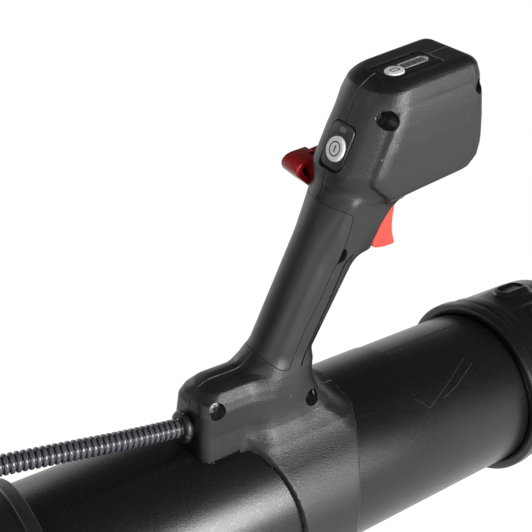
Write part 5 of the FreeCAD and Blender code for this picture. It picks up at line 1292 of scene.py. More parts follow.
# Outlet elbow: a moulded polypropylene bend that leads the air from the fan's outlet to the hose. Four bosses
# on its flange take the bolts into the fan housing.
pack_black = grained("black_textured_polypropylene", "#161617", "#222223", gloss=(0.42, 0.56), grain=0.5,
    relief=0.05, mottle=0.3, IOR=1.49)
FAN_X = -0.005
OUTLET_Y = -0.118
FLANGE_Y = -0.1502
BEND_R = 0.08
BOLT_CIRCLE_R = 0.0538
elbow_line = [(FAN_X, OUTLET_Y, TUBE_Z), (FAN_X, -0.132, TUBE_Z)]
for turn in np.linspace(0, math.pi / 2, 33):
    elbow_line.append((FAN_X + BEND_R * (1 - math.cos(turn)), -0.15 - BEND_R * math.sin(turn), TUBE_Z))
elbow_line += [(0.09, TUBE_Y, TUBE_Z), (0.1115, TUBE_Y, TUBE_Z)]


def hollow_bend(name, line, outer, inner, sides=96):
    """A pipe along a level line, with its wall."""
    line = np.array(line)
    directions = np.gradient(line, axis=0)
    directions[0], directions[-1] = line[1] - line[0], line[-1] - line[-2]
    directions /= np.linalg.norm(directions, axis=1)[:, None]
    across = np.cross(directions, (0.0, 0.0, 1.0))
    turn = np.linspace(0.0, math.tau, sides, endpoint=False)
    rows = []
    for radius, order in ((outer, 1), (inner, -1)):
        sideways = np.cos(turn)[None, :, None] * across[:, None]
        upwards = np.sin(turn)[None, :, None] * np.array((0, 0, 1.0))
        rows.append((line[:, None] + radius * (sideways + upwards))[::order])
    points = np.concatenate(rows)
    faces = grid_faces(len(points), sides, looped=True)
    piece = tidy_normals(new_piece(name, points.reshape(-1, 3), faces))
    sharpen(piece)
    return piece


bend = hollow_bend("elbow_bend", elbow_line, PIPE_R, 0.047)
flange = [(0.0, 0.049), (0.006, 0.049), (0.006, 0.056), (0.0052, 0.0588), (0.0, 0.059)]
flange = lathe("elbow_flange", flange, (FAN_X, FLANGE_Y, TUBE_Z), (0, -1, 0), 128)
boss = [(0.0, 0.0), (0.0072, 0.0), (0.0072, 0.004), (0.0066, 0.0046), (0.0, 0.0046)]
bosses = []
for turn in np.radians((45, 135, 225, 315)):
    out, up = BOLT_CIRCLE_R * math.cos(turn), BOLT_CIRCLE_R * math.sin(turn)
    at = (FAN_X + out, FLANGE_Y, TUBE_Z + up)
    bosses.append(lathe("flange_boss", boss, at, (0, -1, 0), 24))
elbow = merged("outlet_elbow_bend", [bend, flange] + bosses)
sharpen(elbow)
wear_dress(elbow, pack_black, "pack")
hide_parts("outlet_elbow")

# Fan housing: two half shells of the same polypropylene that meet on a flange round the scroll and are
# screwed through lugs. Round ribs stiffen the rear face about the inlet.
FAN_Z, SCROLL_R, SCROLL_GROWTH = 0.23, 0.113, 0.021
LUG_TURNS = (20, 75, 130, 185, 240)
WALL = 0.003


def scroll_place(turn, grow):
    """Y and Z of a place on the scroll, at degrees round it and a distance outside it."""
    reach = SCROLL_R + SCROLL_GROWTH * turn / 270 + grow
    return -reach * math.cos(math.radians(turn)), FAN_Z + reach * math.sin(math.radians(turn))


def scroll_outline(grow):
    """The scroll's outline: an arm that grows over three quarters of a turn, then the square outlet."""
    points = [scroll_place(turn, grow) for turn in range(0, 271, 6)]
    return points + [(OUTLET_Y, points[-1][1]), (OUTLET_Y, 0.204 + grow)]


DUCT = ((-0.03, 0.05), (0.032, 0.0503), (0.032, 0.0531), (0.0312, 0.0539), (-0.03, 0.0539))
LUG = ((0.0002, 0.0026), (0.009, 0.0026), (0.009, 0.0072), (0.0082, 0.008), (0.0002, 0.008))
FACE_RIB = ((-0.001, 0.0), (0.0014, 0.0), (0.0018, 0.0004), (0.0018, 0.002), (0.0014, 0.0024),
    (-0.001, 0.0024))
for name, low, high, face, out, hole_r in (
    ("fan_housing_rear", -0.059, -0.0052, -0.059, -1, 0.066),
    ("fan_housing_front", -0.0048, 0.049, 0.049, 1, 0.019),
):
    shell = moulding(f"{name}_shell", scroll_outline(0.0), facing_x, low, high, 0.007, 5)
    rim = sorted((FAN_X + out * 0.0002, FAN_X + out * 0.0042))
    flange = moulding("scroll_flange", scroll_outline(0.003), facing_x, *rim, 0.0006)
    outlet = (FAN_X, OUTLET_Y, TUBE_Z)
    duct = lathe("duct", DUCT, outlet, (0, -1, 0), 96)
    other_half = (-0.2, FAN_X - 0.0002) if out > 0 else (FAN_X + 0.0002, 0.2)
    cut_with(duct, [moulding("duct_half", box_outline(-0.25, 0.05, 0.05, 0.25), facing_x, *other_half)])
    inside = (low + WALL, high + 0.01) if out < 0 else (low - 0.01, high - WALL)
    room = moulding("room", scroll_outline(-WALL), facing_x, *inside)
    cut_with(shell, [drill(hole_r, 0.05, (face, 0.0, FAN_Z), (1, 0, 0), 96), room,
        drill(0.0503, 0.04, outlet, (0, -1, 0), 64)])
    cut_with(flange, [moulding("room", scroll_outline(-WALL), facing_x, -0.1, 0.1),
        drill(0.0503, 0.04, outlet, (0, -1, 0), 64)])
    parts = [shell, flange, duct]
    for turn in LUG_TURNS:
        parts.append(lathe("lug", LUG, (FAN_X, *scroll_place(turn, 0.005)), (out, 0, 0), 40))
    for radius in (0.0778, 0.0888, 0.0998):
        ring = [(along, radius + more) for along, more in FACE_RIB]
        parts.append(lathe("stiffening_ring", ring, (face - out * 0.0001, 0.0, FAN_Z), (out, 0, 0), 96))
    housing = merged(f"{name}_half", parts)
    sharpen(housing)
    wear_dress(housing, pack_black, "pack")
    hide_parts(name)
screws = []
for turn in LUG_TURNS:
    at = (FAN_X - 0.009, *scroll_place(turn, 0.005))
    screws.append(cross_head_screw("housing_screw", at, (-1, 0, 0), screw_steel, head_r=0.0044,
        shank_r=0.0025, shank_length=0.016))
housing_screws = merged("scroll_screws", screws)
wear_dress(housing_screws, screw_steel, "pack")
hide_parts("housing_screws")

# Intake grille: a guard of glass filled nylon, moulded as five rings on eight spokes, that keeps fingers and
# leaves out of the fan. Its rim is snapped over the housing's inlet.
grille_rings = [(0.067, 0.078, -0.063, -0.059)]
grille_rings += [(r - 0.0013, r + 0.0013, -0.066, -0.062) for r in (0.022, 0.032, 0.042, 0.052, 0.062)]
grille_parts = []
for inner, outer, low, high in grille_rings:
    ring = eased([(low, inner), (high, inner), (high, outer), (low, outer)], 0.0007)
    grille_parts.append(turned_piece("grille_ring", ring, sides=112, at=(0.0, 0.0, FAN_Z)))
hub = [(0.0, 0.0), (0.0058, 0.0), (0.0058, 0.01), (0.0048, 0.0136), (0.0, 0.014)]
grille_parts.append(lathe("grille_hub", hub, (-0.061, 0.0, FAN_Z), (-1, 0, 0), 48))
for number in range(8):
    spoke = box_outline(0.01, 0.072, -0.0018, 0.0018)
    spoke = moulding("grille_spoke", spoke, facing_x, -0.065, -0.0615, 0.0006)
    turn = Matrix.Rotation(math.radians(45 * number), 4, "X")
    spoke.data.transform(Matrix.Translation((0, 0, FAN_Z)) @ turn)
    grille_parts.append(spoke)
grille = merged("intake_guard", grille_parts)
sharpen(grille)
wear_dress(grille, handle_nylon, "pack")
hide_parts("intake_grille")

# Inside the fan, and seen only through the guard: a nylon impeller on a machined steel shaft, held by a zinc
# plated nut, and the motor. The board, switch, pins and spring inside the handle get their finish here too.
impeller_nylon = grained("glass_filled_nylon_impeller", "#222326", "#303135", gloss=(0.36, 0.5), grain=0.8,
    relief=0.03, mottle=0.4, IOR=1.53)
machined_steel = grained("machined_steel", "#8B8C8E", "#A5A6A8", gloss=(0.18, 0.34), grain=0.4, relief=0.01,
    mottle=0.2, Metallic=1.0)
cast_aluminium = grained("cast_aluminium", "#8A8C8F", "#A2A4A6", gloss=(0.4, 0.6), grain=1.0, relief=0.06,
    mottle=0.3, Metallic=1.0)
board_green = grained("green_solder_mask", "#11402A", "#1A5538", gloss=(0.26, 0.4), grain=2.0, relief=0.02,
    mottle=0.3)
terminal_brass = grained("tinned_brass", "#9A7F45", "#B59A5E", gloss=(0.25, 0.4), grain=0.8, relief=0.01,
    mottle=0.3, Metallic=1.0)
for material, names in (
    (impeller_nylon, ("impeller",)),
    (machined_steel, ("fan_shaft", "motor_rotor", "motor_bearings", "trigger_spring")),
    (zinc, ("fan_nut", "trigger_pin")),
    (screw_steel, ("motor_stator", "lever_pin")),
    (cast_aluminium, ("motor_mount",)),
    (board_green, ("handle_board",)),
    (terminal_brass, ("terminal_blocks",)),
    (handle_nylon, ("trigger_switch",)),
):
    for name in names:
        wear_dress(nodes[name], material)

# Vibration mounts: four waisted bushes of moulded rubber, screwed between the fan housing and the back plate,
# that keep the motor's shaking off the wearer
WAIST = ((0.0492, 0.0), (0.0492, 0.0146), (0.05, 0.015), (0.0556, 0.015), (0.058, 0.014), (0.061, 0.0116),
         (0.067, 0.0108), (0.073, 0.0116), (0.0764, 0.014), (0.079, 0.015), (0.0842, 0.015), (0.085, 0.0146),
         (0.085, 0.0))
bushes = []
for y, up in ((-0.078, 0.06), (0.078, 0.06), (-0.078, -0.062), (0.078, -0.062)):
    bushes.append(lathe("bush", WAIST, (0.0, y, FAN_Z + up), (1, 0, 0), 40, open_bore=False))
mounts = merged("rubber_vibration_bushes", bushes)
wear_dress(mounts, grip_rubber, "pack")
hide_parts("vibration_mounts")

# Back plate: one large polypropylene moulding with a deep rim, which carries everything else of the pack.
# Shallow grooves stiffen it, and two rows of slots let the straps be moved.
plate_front, plate_rear = 0.092, 0.058
plate = box_outline(-0.15, 0.15, 0.028, 0.545, 0.045, 10)
plate = moulding("back_plate_shell", plate, facing_x, plate_rear, plate_front, 0.005, 4)
room = box_outline(-0.146, 0.146, 0.032, 0.541, 0.041, 10)
cuts = [moulding("plate_room", room, facing_x, plate_rear - 0.01, plate_front - 0.007)]
for ends, places, half, depth in (
    ((-0.06, 0.06), (0.204, 0.216, 0.228), 0.0022, 0.0022),
    ((-0.1, 0.1), (0.05, 0.064, 0.078, 0.092), 0.0025, 0.0022),
    ((-0.1405, -0.1235), np.arange(0.262, 0.47, 0.022), 0.0025, 0.0025),
    ((0.1235, 0.1405), np.arange(0.262, 0.47, 0.022), 0.0025, 0.0025),
):
    for z in places:
        cuts.append(slit("plate_groove", ends, z, half, facing_x, plate_front - depth, plate_front + 0.01))
cuts.append(drill(0.0068, 0.02, (0.075, -0.15, 0.249), (0, 1, 0)))
cut_with(plate, cuts)
sharpen(plate)
wear_dress(plate, pack_black, "pack")
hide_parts("back_plate")

# Base tray: a flat moulding of dark grey polypropylene under the back plate, on which the pack stands. Five
# rubber feet are pressed into its underside.
grey_plastic = grained("dark_grey_textured_polypropylene", "#2B2C2E", "#37383A", gloss=(0.42, 0.56),
    grain=0.5, relief=0.05, mottle=0.3, IOR=1.49)
tray = box_outline(-0.125, 0.145, -0.15, 0.15, 0.042, 10)
tray = moulding("base_tray_slab", tray, facing_z, 0.016, 0.028, 0.003, 4)
groove = box_outline(-0.121, 0.141, -0.146, 0.146, 0.038, 10)
groove = moulding("tray_groove", groove, facing_z, 0.0272, 0.04)
keep = box_outline(-0.118, 0.138, -0.143, 0.143, 0.035, 10)
cut_with(groove, [moulding("tray_keep", keep, facing_z, 0.02, 0.05)])
cut_with(tray, [groove])
sharpen(tray)
wear_dress(tray, grey_plastic, "pack")
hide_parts("base_tray")
FOOT = ((0.016, 0.0), (0.016, 0.0185), (0.004, 0.02), (0.0016, 0.0196), (0.0, 0.0182), (0.0, 0.015),
        (0.0012, 0.0146), (0.0012, 0.0112), (0.0, 0.0108), (0.0, 0.007), (0.0012, 0.0066), (0.0012, 0.0))
feet = []
for x, y in ((0.0, 0.0), (-0.093, -0.118), (-0.093, 0.118), (0.113, -0.118), (0.113, 0.118)):
    feet.append(lathe("foot", FOOT, (x, y, 0.0), (0, 0, 1), 48, open_bore=False))
feet = merged("moulded_rubber_feet", feet)
wear_dress(feet, grip_rubber, "pack")
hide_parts("rubber_feet")

# Controller: the motor's electronics in a moulded polypropylene case, screwed to the tray. A finned heat sink
# of cast aluminium stands behind it in the fan's draught.
case = box_outline(-0.079, 0.039, -0.09, 0.09, 0.008)
case = moulding("controller_box", case, facing_z, 0.028, 0.074, 0.003, 4)
cuts = [moulding("case_seam", box_outline(-0.081, 0.041, -0.092, 0.092, 0.009), facing_z, 0.061, 0.0618)]
keep = box_outline(-0.0782, 0.0382, -0.0892, 0.0892, 0.0072)
cut_with(cuts[0], [moulding("seam_keep", keep, facing_z, 0.05, 0.07)])
for y in np.arange(-0.06, 0.0601, 0.012):
    cuts.append(slit("case_groove", (-0.06, 0.02), y, 0.0018, facing_z, 0.0728, 0.09))
cut_with(case, cuts)
sharpen(case)
wear_dress(case, pack_black, "pack")
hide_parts("controller_case")
fins = [moulding("sink_base", box_outline(-0.084, -0.079, -0.082, 0.082), facing_z, 0.028, 0.07, 0.0005)]
for number in range(15):
    y = -0.079 + number * 0.158 / 14
    fin = box_outline(-0.103, -0.0838, y - 0.0011, y + 0.0011)
    fins.append(moulding("sink_fin", fin, facing_z, 0.028, 0.07, 0.0004, 2))
sink = merged("finned_heat_sink", fins)
sharpen(sink)
wear_dress(sink, cast_aluminium, "pack")
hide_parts("controller_heat_sink")

# Battery case: a closed polypropylene box on the back plate, ribbed at its ends, that holds the battery
# terminals. The batteries slide down its two rails onto the shelf.
BATTERY_Y = 0.068
box = box_outline(-0.148, 0.148, 0.376, 0.526, 0.014)
box = moulding("battery_box", box, facing_x, -0.026, 0.058, 0.003, 4)
shelf = box_outline(-0.1043, 0.058, -0.148, 0.148, 0.014)
parts = [moulding("battery_shelf", shelf, facing_z, 0.364, 0.376, 0.0022, 3)]
for y in (-BATTERY_Y, BATTERY_Y):
    rail = box_outline(-0.033, -0.025, y - 0.02, y + 0.02)
    parts.append(moulding("battery_rail", rail, facing_z, 0.3765, 0.514, 0.0008))
ends = (-0.016, 0.048)
for y in (-0.1485, 0.1485):
    for z in np.arange(0.396, 0.51, 0.016):
        parts.append(slit("case_rib", ends, z, 0.0016, facing_y, y - 0.0012, y + 0.0012, 0.0004, 2))
battery_box = merged("battery_case_box", [box] + parts)
sharpen(battery_box)
wear_dress(battery_box, pack_black, "pack")
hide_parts("battery_case")

# Batteries: two part cases of black ABS and polycarbonate with grip grooves at the top. Each has four charge
# lamps on its back and a sprung release button of grey acetal.
battery_black = grained("black_abs_polycarbonate", "#17181A", "#242527", gloss=(0.36, 0.5), grain=0.5,
    relief=0.04, mottle=0.3, IOR=1.57)
release_grey = grained("grey_acetal", "#5A5C5F", "#6C6E71", gloss=(0.34, 0.46), grain=0.7, relief=0.03,
    mottle=0.3, IOR=1.48)
for side, name in ((-1, "right"), (1, "left")):
    middle = side * BATTERY_Y
    rear, front, low, high = -0.1003, -0.0263, 0.3763, 0.5343

    def around(more, corner):
        """The battery's outline from above, larger on every side."""
        return box_outline(rear - more, front + more, middle - 0.056 - more, middle + 0.056 + more, corner)

    pack = moulding(f"battery_{name}_case", around(0.0, 0.009), facing_z, low, high, 0.0035, 4)
    rail = box_outline(-0.0336, -0.02, middle - 0.0203, middle + 0.0203)
    pocket = box_outline(middle - 0.0173, middle + 0.0173, high - 0.032, high - 0.012, 0.003)
    seam = moulding("case_seam", around(0.002, 0.011), facing_z, 0.478, 0.4792)
    cut_with(seam, [moulding("seam_keep", around(-0.0009, 0.0081), facing_z, 0.47, 0.49)])
    cuts = [moulding("rail_groove", rail, facing_z, low - 0.01, 0.515),
            moulding("release_pocket", pocket, facing_x, rear - 0.01, rear + 0.012), seam]
    for y in (middle - 0.056, middle + 0.056):
        for z in np.arange(0.49, 0.5301, 0.0066):
            cuts.append(slit("grip_groove", (-0.086, -0.044), z, 0.0015, facing_y, y - 0.0016, y + 0.0016))
    ends = (middle - 0.036, middle + 0.036)
    for z in (0.4, 0.412, 0.424, 0.436):
        cuts.append(slit("back_groove", ends, z, 0.0022, facing_x, rear - 0.01, rear + 0.0012))
    cut_with(pack, cuts)
    sharpen(pack)
    wear_dress(pack, battery_black, f"battery_{name}")
    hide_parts(f"battery_{name}")
    lamps = []
    for number in range(4):
        y = middle - 0.013 + 0.0085 * number
        lamp = box_outline(y - 0.0022, y + 0.0022, 0.4596, 0.4624, 0.001)
        lamps.append(moulding("lamp", lamp, facing_x, rear - 0.0004, rear + 0.002, 0.0002, 2))
    wear_dress(merged(f"battery_{name}_lamps", lamps), lamp_window, f"battery_{name}")
    button = box_outline(middle - 0.017, middle + 0.017, high - 0.0317, high - 0.0123, 0.003)
    button = moulding(f"release_{name}_button", button, facing_x, rear - 0.0015, rear + 0.0075, 0.001)
    ends = (middle - 0.012, middle + 0.012)
    places = np.arange(high - 0.028, high - 0.015, 0.003)
    cut_with(button, [slit("button_groove", ends, z, 0.0008, facing_x, rear - 0.01, rear - 0.0007)
        for z in places])
    sharpen(button)
    wear_dress(button, release_grey, f"release_{name}")
    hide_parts(f"release_button_{name}")

# Carry handle: a bow over the battery case, moulded in soft rubber over a stiff core, with a thicker ribbed
# grip in its middle. Each of its feet is bolted to the case with two screws.
BOW = ((-0.074, 0.526), (-0.07, 0.552), (-0.04, 0.572), (0.0, 0.575), (0.04, 0.572), (0.07, 0.552),
    (0.074, 0.526))
line, directions, _ = along_line(line_of([(0.016, y, z) for y, z in BOW]), 0.0015)
share = np.linspace(0.0, 1.0, len(line))
grip = rise(share, 0.24, 0.27) * (1.0 - rise(share, 0.73, 0.76))
finger = 0.0003 * np.cos(share * math.tau * 40.0)
radii = 0.0094 + (0.0012 + finger) * grip
bow = tube_piece("carry_handle_bow", line, directions, radii, 40, (1.0, 0.0, 0.0))
feet, bolts = [], []
for y in (-0.074, 0.074):
    foot = box_outline(0.0, 0.032, y - 0.016, y + 0.016, 0.006)
    feet.append(moulding("bow_foot", foot, facing_z, 0.5262, 0.534, 0.0016))
    for x in (0.0265, 0.0055):
        at = (x, y, 0.5352)
        bolts.append(cross_head_screw("foot_bolt", at, (0, 0, 1), screw_steel, head_r=0.003, shank_r=0.0015,
            shank_length=0.003))
carry = merged("carry_handle_moulding", [bow] + feet)
sharpen(carry, 50.0)
wear_dress(carry, grip_rubber, "pack")
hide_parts("carry_handle")
wear_dress(merged("carry_handle_bolts", bolts), screw_steel, "pack")

# Harness: cushions of foam in a sewn cover of polyester spacer mesh, bound with woven nylon tape, on the
# front of the back plate. The mesh is knitted with holes 3 mm apart, sunk-in dots darkened by painted shade.
spacer_mesh, shader = new_material("polyester_spacer_mesh", Base_Color="#232427", Roughness=0.85,
    Sheen_Weight=0.25)
place = node(spacer_mesh, "TexCoord")
cells = node(spacer_mesh, "TexVoronoi", {"Scale": 310.0, "Randomness": 0.22}, Vector=place.outputs["Object"])
hole = node(spacer_mesh, "MapRange", {"From Min": 0.12, "From Max": 0.34}, Value=cells.outputs["Distance"])
# Painted shade: the holes are coloured darker than the yarn round them, for the shade inside them
yarn_and_hole_shade = node(spacer_mesh, "Mix", {"data_type": "RGBA", 6: linear("#121315"), 7: linear("#35373B")},
    _0=hole.outputs[0])
spacer_mesh.node_tree.links.new(yarn_and_hole_shade.outputs[2], shader.inputs["Base Color"])
sunk = node(spacer_mesh, "Bump", {"Distance": 0.0006}, Height=hole.outputs[0])
spacer_mesh.node_tree.links.new(sunk.outputs[0], shader.inputs["Normal"])
# Woven nylon: two directions of yarn over and under one another
woven_nylon, shader = new_material("woven_nylon_cloth", Base_Color="#17181A", Roughness=0.8,
    Sheen_Weight=0.2)
place = node(woven_nylon, "TexCoord")
warp = node(woven_nylon, "TexWave", {"bands_direction": "Y", "Scale": 260.0, "Distortion": 0.4},
    Vector=place.outputs["Object"])
weft = node(woven_nylon, "TexWave", {"bands_direction": "DIAGONAL", "Scale": 150.0, "Distortion": 0.4},
    Vector=place.outputs["Object"])
woven = node(woven_nylon, "Math", {"operation": "MULTIPLY"}, _0=warp.outputs["Fac"], _1=weft.outputs["Fac"])
yarns = node(woven_nylon, "Mix", {"data_type": "RGBA", 6: linear("#111214"), 7: linear("#2A2B2E")},
    _0=woven.outputs[0])
woven_nylon.node_tree.links.new(yarns.outputs[2], shader.inputs["Base Color"])
raised = node(woven_nylon, "Bump", {"Distance": 0.0002}, Height=woven.outputs[0])
woven_nylon.node_tree.links.new(raised.outputs[0], shader.inputs["Normal"])


# Back pad: a cushion of foam in a sewn cover, which is filled by pressure from inside. Two seams cross it,
# and a binding of woven tape runs round its edge.
def cushion(name, source, pressure, cell, shrink):
    """A closed copy of a shape, drawn in a little, to be filled by pressure until its cover is tight."""
    soft = placed(name, source.data.copy())
    soft.data.transform(source.matrix_world)
    remesh = soft.modifiers.new("even", "REMESH")
    remesh.mode = "VOXEL"
    remesh.voxel_size = cell
    apply_all(soft)
    mesh = soft.data
    rest = np.empty(len(mesh.vertices) * 3)
    mesh.vertices.foreach_get("co", rest)
    rest = rest.reshape(-1, 3)
    middle = (rest.min(axis=0) + rest.max(axis=0)) / 2
    start = middle + (rest - middle) * shrink
    mesh.vertices.foreach_set("co", start.ravel())
    mesh.update()
    cloth = soft.modifiers.new("filled", "CLOTH")
    cloth.settings.use_pressure = True
    cloth.settings.uniform_pressure_force = pressure
    cloth.settings.tension_stiffness = 40.0
    cloth.settings.compression_stiffness = 40.0
    cloth.settings.bending_stiffness = 0.6
    cloth.settings.effector_weights.gravity = 0.0
    held = soft.vertex_groups.new(name="held")
    return soft, cloth, held, start


def settle(soft, cloth, start, frames, most):
    """Runs the cloth over its frames, limits how far it moved, and bakes it with one subdivision."""
    cloth.point_cache.frame_start, cloth.point_cache.frame_end = 1, frames
    for frame_number in range(1, frames + 1):
        bpy.context.scene.frame_set(frame_number)
    apply_all(soft)
    bpy.context.scene.frame_set(1)
    points = np.empty(len(soft.data.vertices) * 3)
    soft.data.vertices.foreach_get("co", points)
    points = points.reshape(-1, 3)
    moved = points - start
    length = np.linalg.norm(moved, axis=1)[:, None]
    points = start + moved * np.minimum(1.0, most / np.maximum(length, 1e-9))
    soft.data.vertices.foreach_set("co", points.ravel())
    smooth = soft.modifiers.new("finer", "SUBSURF")
    smooth.levels = smooth.render_levels = 1
    apply_all(soft)
    soft.data.polygons.foreach_set("use_smooth", [True] * len(soft.data.polygons))


pad, cloth, held, start = cushion("back_pad_cushion", nodes["back_pad"], 4.0, 0.005, 0.985)
SEAM_HEIGHTS = (0.3214, 0.3946)
from_seam = [min(abs(point[2] - height) for height in SEAM_HEIGHTS) for point in start]
sewn = [k for k, point in enumerate(start) if from_seam[k] < 0.0055 and point[0] > 0.104]
plate_side = [k for k, point in enumerate(start) if point[0] < 0.0975]
held.add(plate_side + sewn, 1.0, "REPLACE")
cloth.settings.vertex_group_mass = "held"
settle(pad, cloth, start, 20, 0.006)
wear_dress(pad, spacer_mesh, "pack")
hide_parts("back_pad")
tape_line = [(0.0975, y, z) for y, z in round_box(0.237, 0.245, 0.034, 10)]
tape_line = np.array([(x, y, z + 0.358) for x, y, z in tape_line + tape_line[:1]])
line, directions, _ = along_line(tape_line, 0.003)
tape = tube_piece("back_pad_binding", line, directions, np.full(len(line), 0.003), 14, (1.0, 0.0, 0.0))
wear_dress(tape, woven_nylon, "pack")


def band_along(name, line, side, half_width, thick, seam_every=0.0, bind=0.0, round_end=0.0, columns=18):
    """A soft flat band along a line: crowned, bound at its edges, drawn in at seams, rounded at its end."""
    directions = np.gradient(line, axis=0)
    directions /= np.linalg.norm(directions, axis=1)[:, None]
    side = np.array(side, float)
    over = np.cross(directions, side)
    lengths = np.concatenate(([0.0], np.cumsum(np.linalg.norm(np.diff(line, axis=0), axis=1))))
    total = lengths[-1]
    share = np.sin(np.linspace(-math.pi / 2, math.pi / 2, columns))
    rows = []
    for place, up, at in zip(line, over, lengths):
        width = half_width
        for reach in (at, total - at):
            if round_end and reach < round_end:
                drawn_in = round_end - math.sqrt(max(round_end**2 - (round_end - reach) ** 2, 0.0))
                width = min(width, half_width - drawn_in + 0.0005)
        plump = 1.0
        if seam_every:
            beside = abs((at / seam_every) % 1.0 - 0.5) * 2.0
            plump = 1.0 - 0.42 * (1.0 - rise(1.0 - beside, 0.0, 0.16))
            plump *= 0.35 + 0.65 * rise(min(at, total - at), 0.0, 0.016)
        height = thick / 2 * ((1.0 - np.abs(share) ** 5) * 0.75 + 0.25) * plump
        if bind:
            height = np.where(np.abs(share) > 0.9, bind, height)
        top = place + side * (share * width)[:, None] + up * height[:, None]
        low = place + side * (share * width)[::-1, None] - up * height[::-1, None]
        rows.append(np.concatenate((top, low)))
    points = np.concatenate(rows)
    return tidy_normals(new_piece(name, points, capped(len(rows), 2 * columns)))


# Shoulder straps: each is a padded strap on an anchor at the plate's top, with a length of nylon webbing
# below it that runs through a moulded adjuster to the lower anchor
STRAP_ROUTE = ((0.098, 0.506), (0.124, 0.535), (0.172, 0.541), (0.216, 0.502), (0.238, 0.44), (0.24, 0.382),
    (0.23, 0.33))
WEBBING_ROUTE = ((0.233, 0.342), (0.222, 0.296), (0.19, 0.256), (0.146, 0.228), (0.098, 0.214))
for side, name in ((-1, "right"), (1, "left")):
    y = side * 0.09
    line = along_line(line_of([(x, y, z) for x, z in STRAP_ROUTE]), 0.004)[0]
    strap = band_along(f"shoulder_strap_{name}_padding", line, (0, 1, 0), 0.031, 0.012, seam_every=0.062,
        bind=0.0026, round_end=0.016)
    wear_dress(strap, spacer_mesh, "pack")
    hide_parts(f"shoulder_strap_{name}")
    line = along_line(line_of([(x, y, z) for x, z in WEBBING_ROUTE]), 0.004)[0]
    webbing = band_along(f"shoulder_webbing_{name}", line, (0, 1, 0), 0.015, 0.0018, columns=10)
    wear_dress(webbing, woven_nylon, "pack")
    slide = box_outline(-0.02, 0.02, -0.013, 0.013, 0.003)
    slide = moulding(f"strap_adjuster_{name}", slide, facing_z, -0.0024, 0.0024, 0.001)
    slots = [box_outline(-0.016, 0.016, low, low + 0.0052, 0.001) for low in (-0.0095, -0.0026, 0.0043)]
    cut_with(slide, [moulding("slot", slot, facing_z, -0.01, 0.01) for slot in slots])
    sharpen(slide)
    ahead = Vector((0.222 - 0.233, 0.0, 0.296 - 0.342)).normalized()
    turn = Matrix((Vector((0, 1, 0)), ahead, Vector((0, 1, 0)).cross(ahead))).transposed().to_4x4()
    slide.data.transform(Matrix.Translation((0.227, y, 0.32)) @ turn)
    wear_dress(slide, panel_black, "pack")
    for where, z, half_high, deep in (("top", 0.504, 0.012, 0.01), ("bottom", 0.214, 0.01, 0.008)):
        anchor = box_outline(y - 0.022, y + 0.022, z - half_high, z + half_high, 0.004)
        anchor = moulding(f"strap_anchor_{name}_{where}", anchor, facing_x, 0.0922, 0.0922 + deep, 0.0018)
        wear_dress(anchor, pack_black, "pack")

# Waist belt: two padded wings sewn to the foot of the harness, each with its half of a moulded buckle that
# closes in front of the wearer
BELT_ROUTE = ((0.0986, 0.062), (0.112, 0.112), (0.146, 0.142), (0.196, 0.15), (0.244, 0.14), (0.28, 0.116))
for side, name in ((-1, "right"), (1, "left")):
    line, directions, _ = along_line(line_of([(x, side * y, 0.152) for x, y in BELT_ROUTE]), 0.004)
    wing = band_along(f"waist_belt_{name}_wing", line, (0, 0, 1), 0.042, 0.012, seam_every=0.056,
        bind=0.0026, round_end=0.018)
    wear_dress(wing, spacer_mesh, "pack")
    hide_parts(f"waist_belt_{name}")
    end, ahead = Vector(line[-1]), Vector(directions[-1])
    turn = Matrix((ahead, Vector((0, 0, 1)).cross(ahead), Vector((0, 0, 1)))).transposed().to_4x4()
    outline = [(0.0, -0.018), (0.012, -0.02), (0.04, -0.0195), (0.0455, -0.013)]
    outline += [(along, -across) for along, across in outline[::-1]]
    clasp = moulding(f"belt_clasp_{name}_half", outline, facing_y, -0.004, 0.004, 0.0018)
    cuts = [moulding("slot", box_outline(0.004, 0.0085, -0.0145, 0.0145, 0.0015), facing_y, -0.02, 0.02)]
    for low, high in ((-0.022, -0.014), (0.014, 0.022)):
        cuts.append(moulding("window", box_outline(0.017, 0.033, low, high, 0.002), facing_y, -0.02, 0.02))
    cuts.append(moulding("dish", box_outline(0.018, 0.04, -0.008, 0.008, 0.004), facing_y, 0.0032, 0.02))
    cut_with(clasp, cuts)
    sharpen(clasp)
    clasp.data.transform(Matrix.Translation(end + ahead * 0.0004) @ turn)
    wear_dress(clasp, panel_black, "pack")
    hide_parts(f"belt_clasp_{name}")

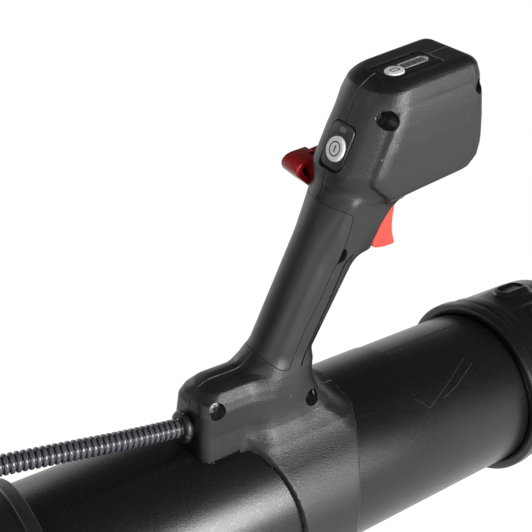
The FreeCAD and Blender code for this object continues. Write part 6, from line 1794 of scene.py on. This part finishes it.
# Studio: a wide white floor, and surroundings that fade from pale at the horizon to dark overhead, so that
# the tops of black pieces stay dark. A large soft light stands low on the wearer's right, two small ones
# behind it and on the left fill the shadows, and a fourth above the pack lights its rear.
FLOOR_HALF, FLOOR_Z = 30.0, -0.0005
corners = [(x * FLOOR_HALF, y * FLOOR_HALF, FLOOR_Z) for x, y in ((-1, -1), (1, -1), (1, 1), (-1, 1))]
floor = new_piece("floor", corners, [(0, 1, 2, 3)])
floor_paint, shader = new_material("white_studio_floor", Base_Color="#6E6E6E", Roughness=0.8)
path = node(floor_paint, "LightPath")
seen, mirrored, through = [path.outputs[f"Is {ray} Ray"] for ray in ("Camera", "Glossy", "Transmission")]
seen = node(floor_paint, "Math", {"operation": "MAXIMUM"}, _0=seen, _1=mirrored)
seen = node(floor_paint, "Math", {"operation": "MAXIMUM"}, _0=seen.outputs[0], _1=through)
glow = node(floor_paint, "Math", {"operation": "MULTIPLY", 1: 0.95}, _0=seen.outputs[0])
floor_paint.node_tree.links.new(glow.outputs[0], shader.inputs["Emission Strength"])
shader.inputs["Emission Color"].default_value = (1, 1, 1, 1)
floor.data.materials.append(floor_paint)
world = bpy.data.worlds.new("studio")
bpy.context.scene.world = world
world.use_nodes = True
ground = world.node_tree.nodes["Background"]
way = world.node_tree.nodes.new("ShaderNodeTexCoord")
parts = world.node_tree.nodes.new("ShaderNodeSeparateXYZ")
fade = world.node_tree.nodes.new("ShaderNodeMapRange")
fade.interpolation_type = "SMOOTHSTEP"
for socket, number in (("From Min", 0.0), ("From Max", 0.36), ("To Min", 0.9), ("To Max", 0.08)):
    fade.inputs[socket].default_value = number
world.node_tree.links.new(way.outputs["Generated"], parts.inputs[0])
world.node_tree.links.new(parts.outputs["Z"], fade.inputs["Value"])
world.node_tree.links.new(fade.outputs[0], ground.inputs["Strength"])
ground.inputs["Color"].default_value = (1, 1, 1, 1)


def soft_light(name, place, target, size, power):
    """A rectangular soft light that faces a place."""
    light = bpy.data.lights.new(name, "AREA")
    light.shape = "RECTANGLE"
    light.size, light.size_y = size
    light.energy = power
    lamp = placed(name, light)
    aim = (Vector(target) - Vector(place)).to_track_quat("-Z", "Y").to_matrix().to_4x4()
    lamp.matrix_world = Matrix.Translation(place) @ aim
    lamp.visible_camera = False


soft_light("large_soft_light", (0.784, -1.47, 0.62), (0.56, -0.23, 0.26), (0.66, 0.6), 31.0)
soft_light("small_rear_light", (-1.3, -1.5, 0.75), (0.5, -0.2, 0.25), (0.5, 0.5), 9.0)
soft_light("left_light", (0.2, 2.3, 0.8), (0.2, 0.0, 0.3), (1.2, 0.9), 9.0)
soft_light("pack_light", (-2.0, 0.5, 1.5), (-0.1, 0.05, 0.3), (1.2, 1.0), 20.0)
bpy.context.scene.view_settings.view_transform = "Standard"
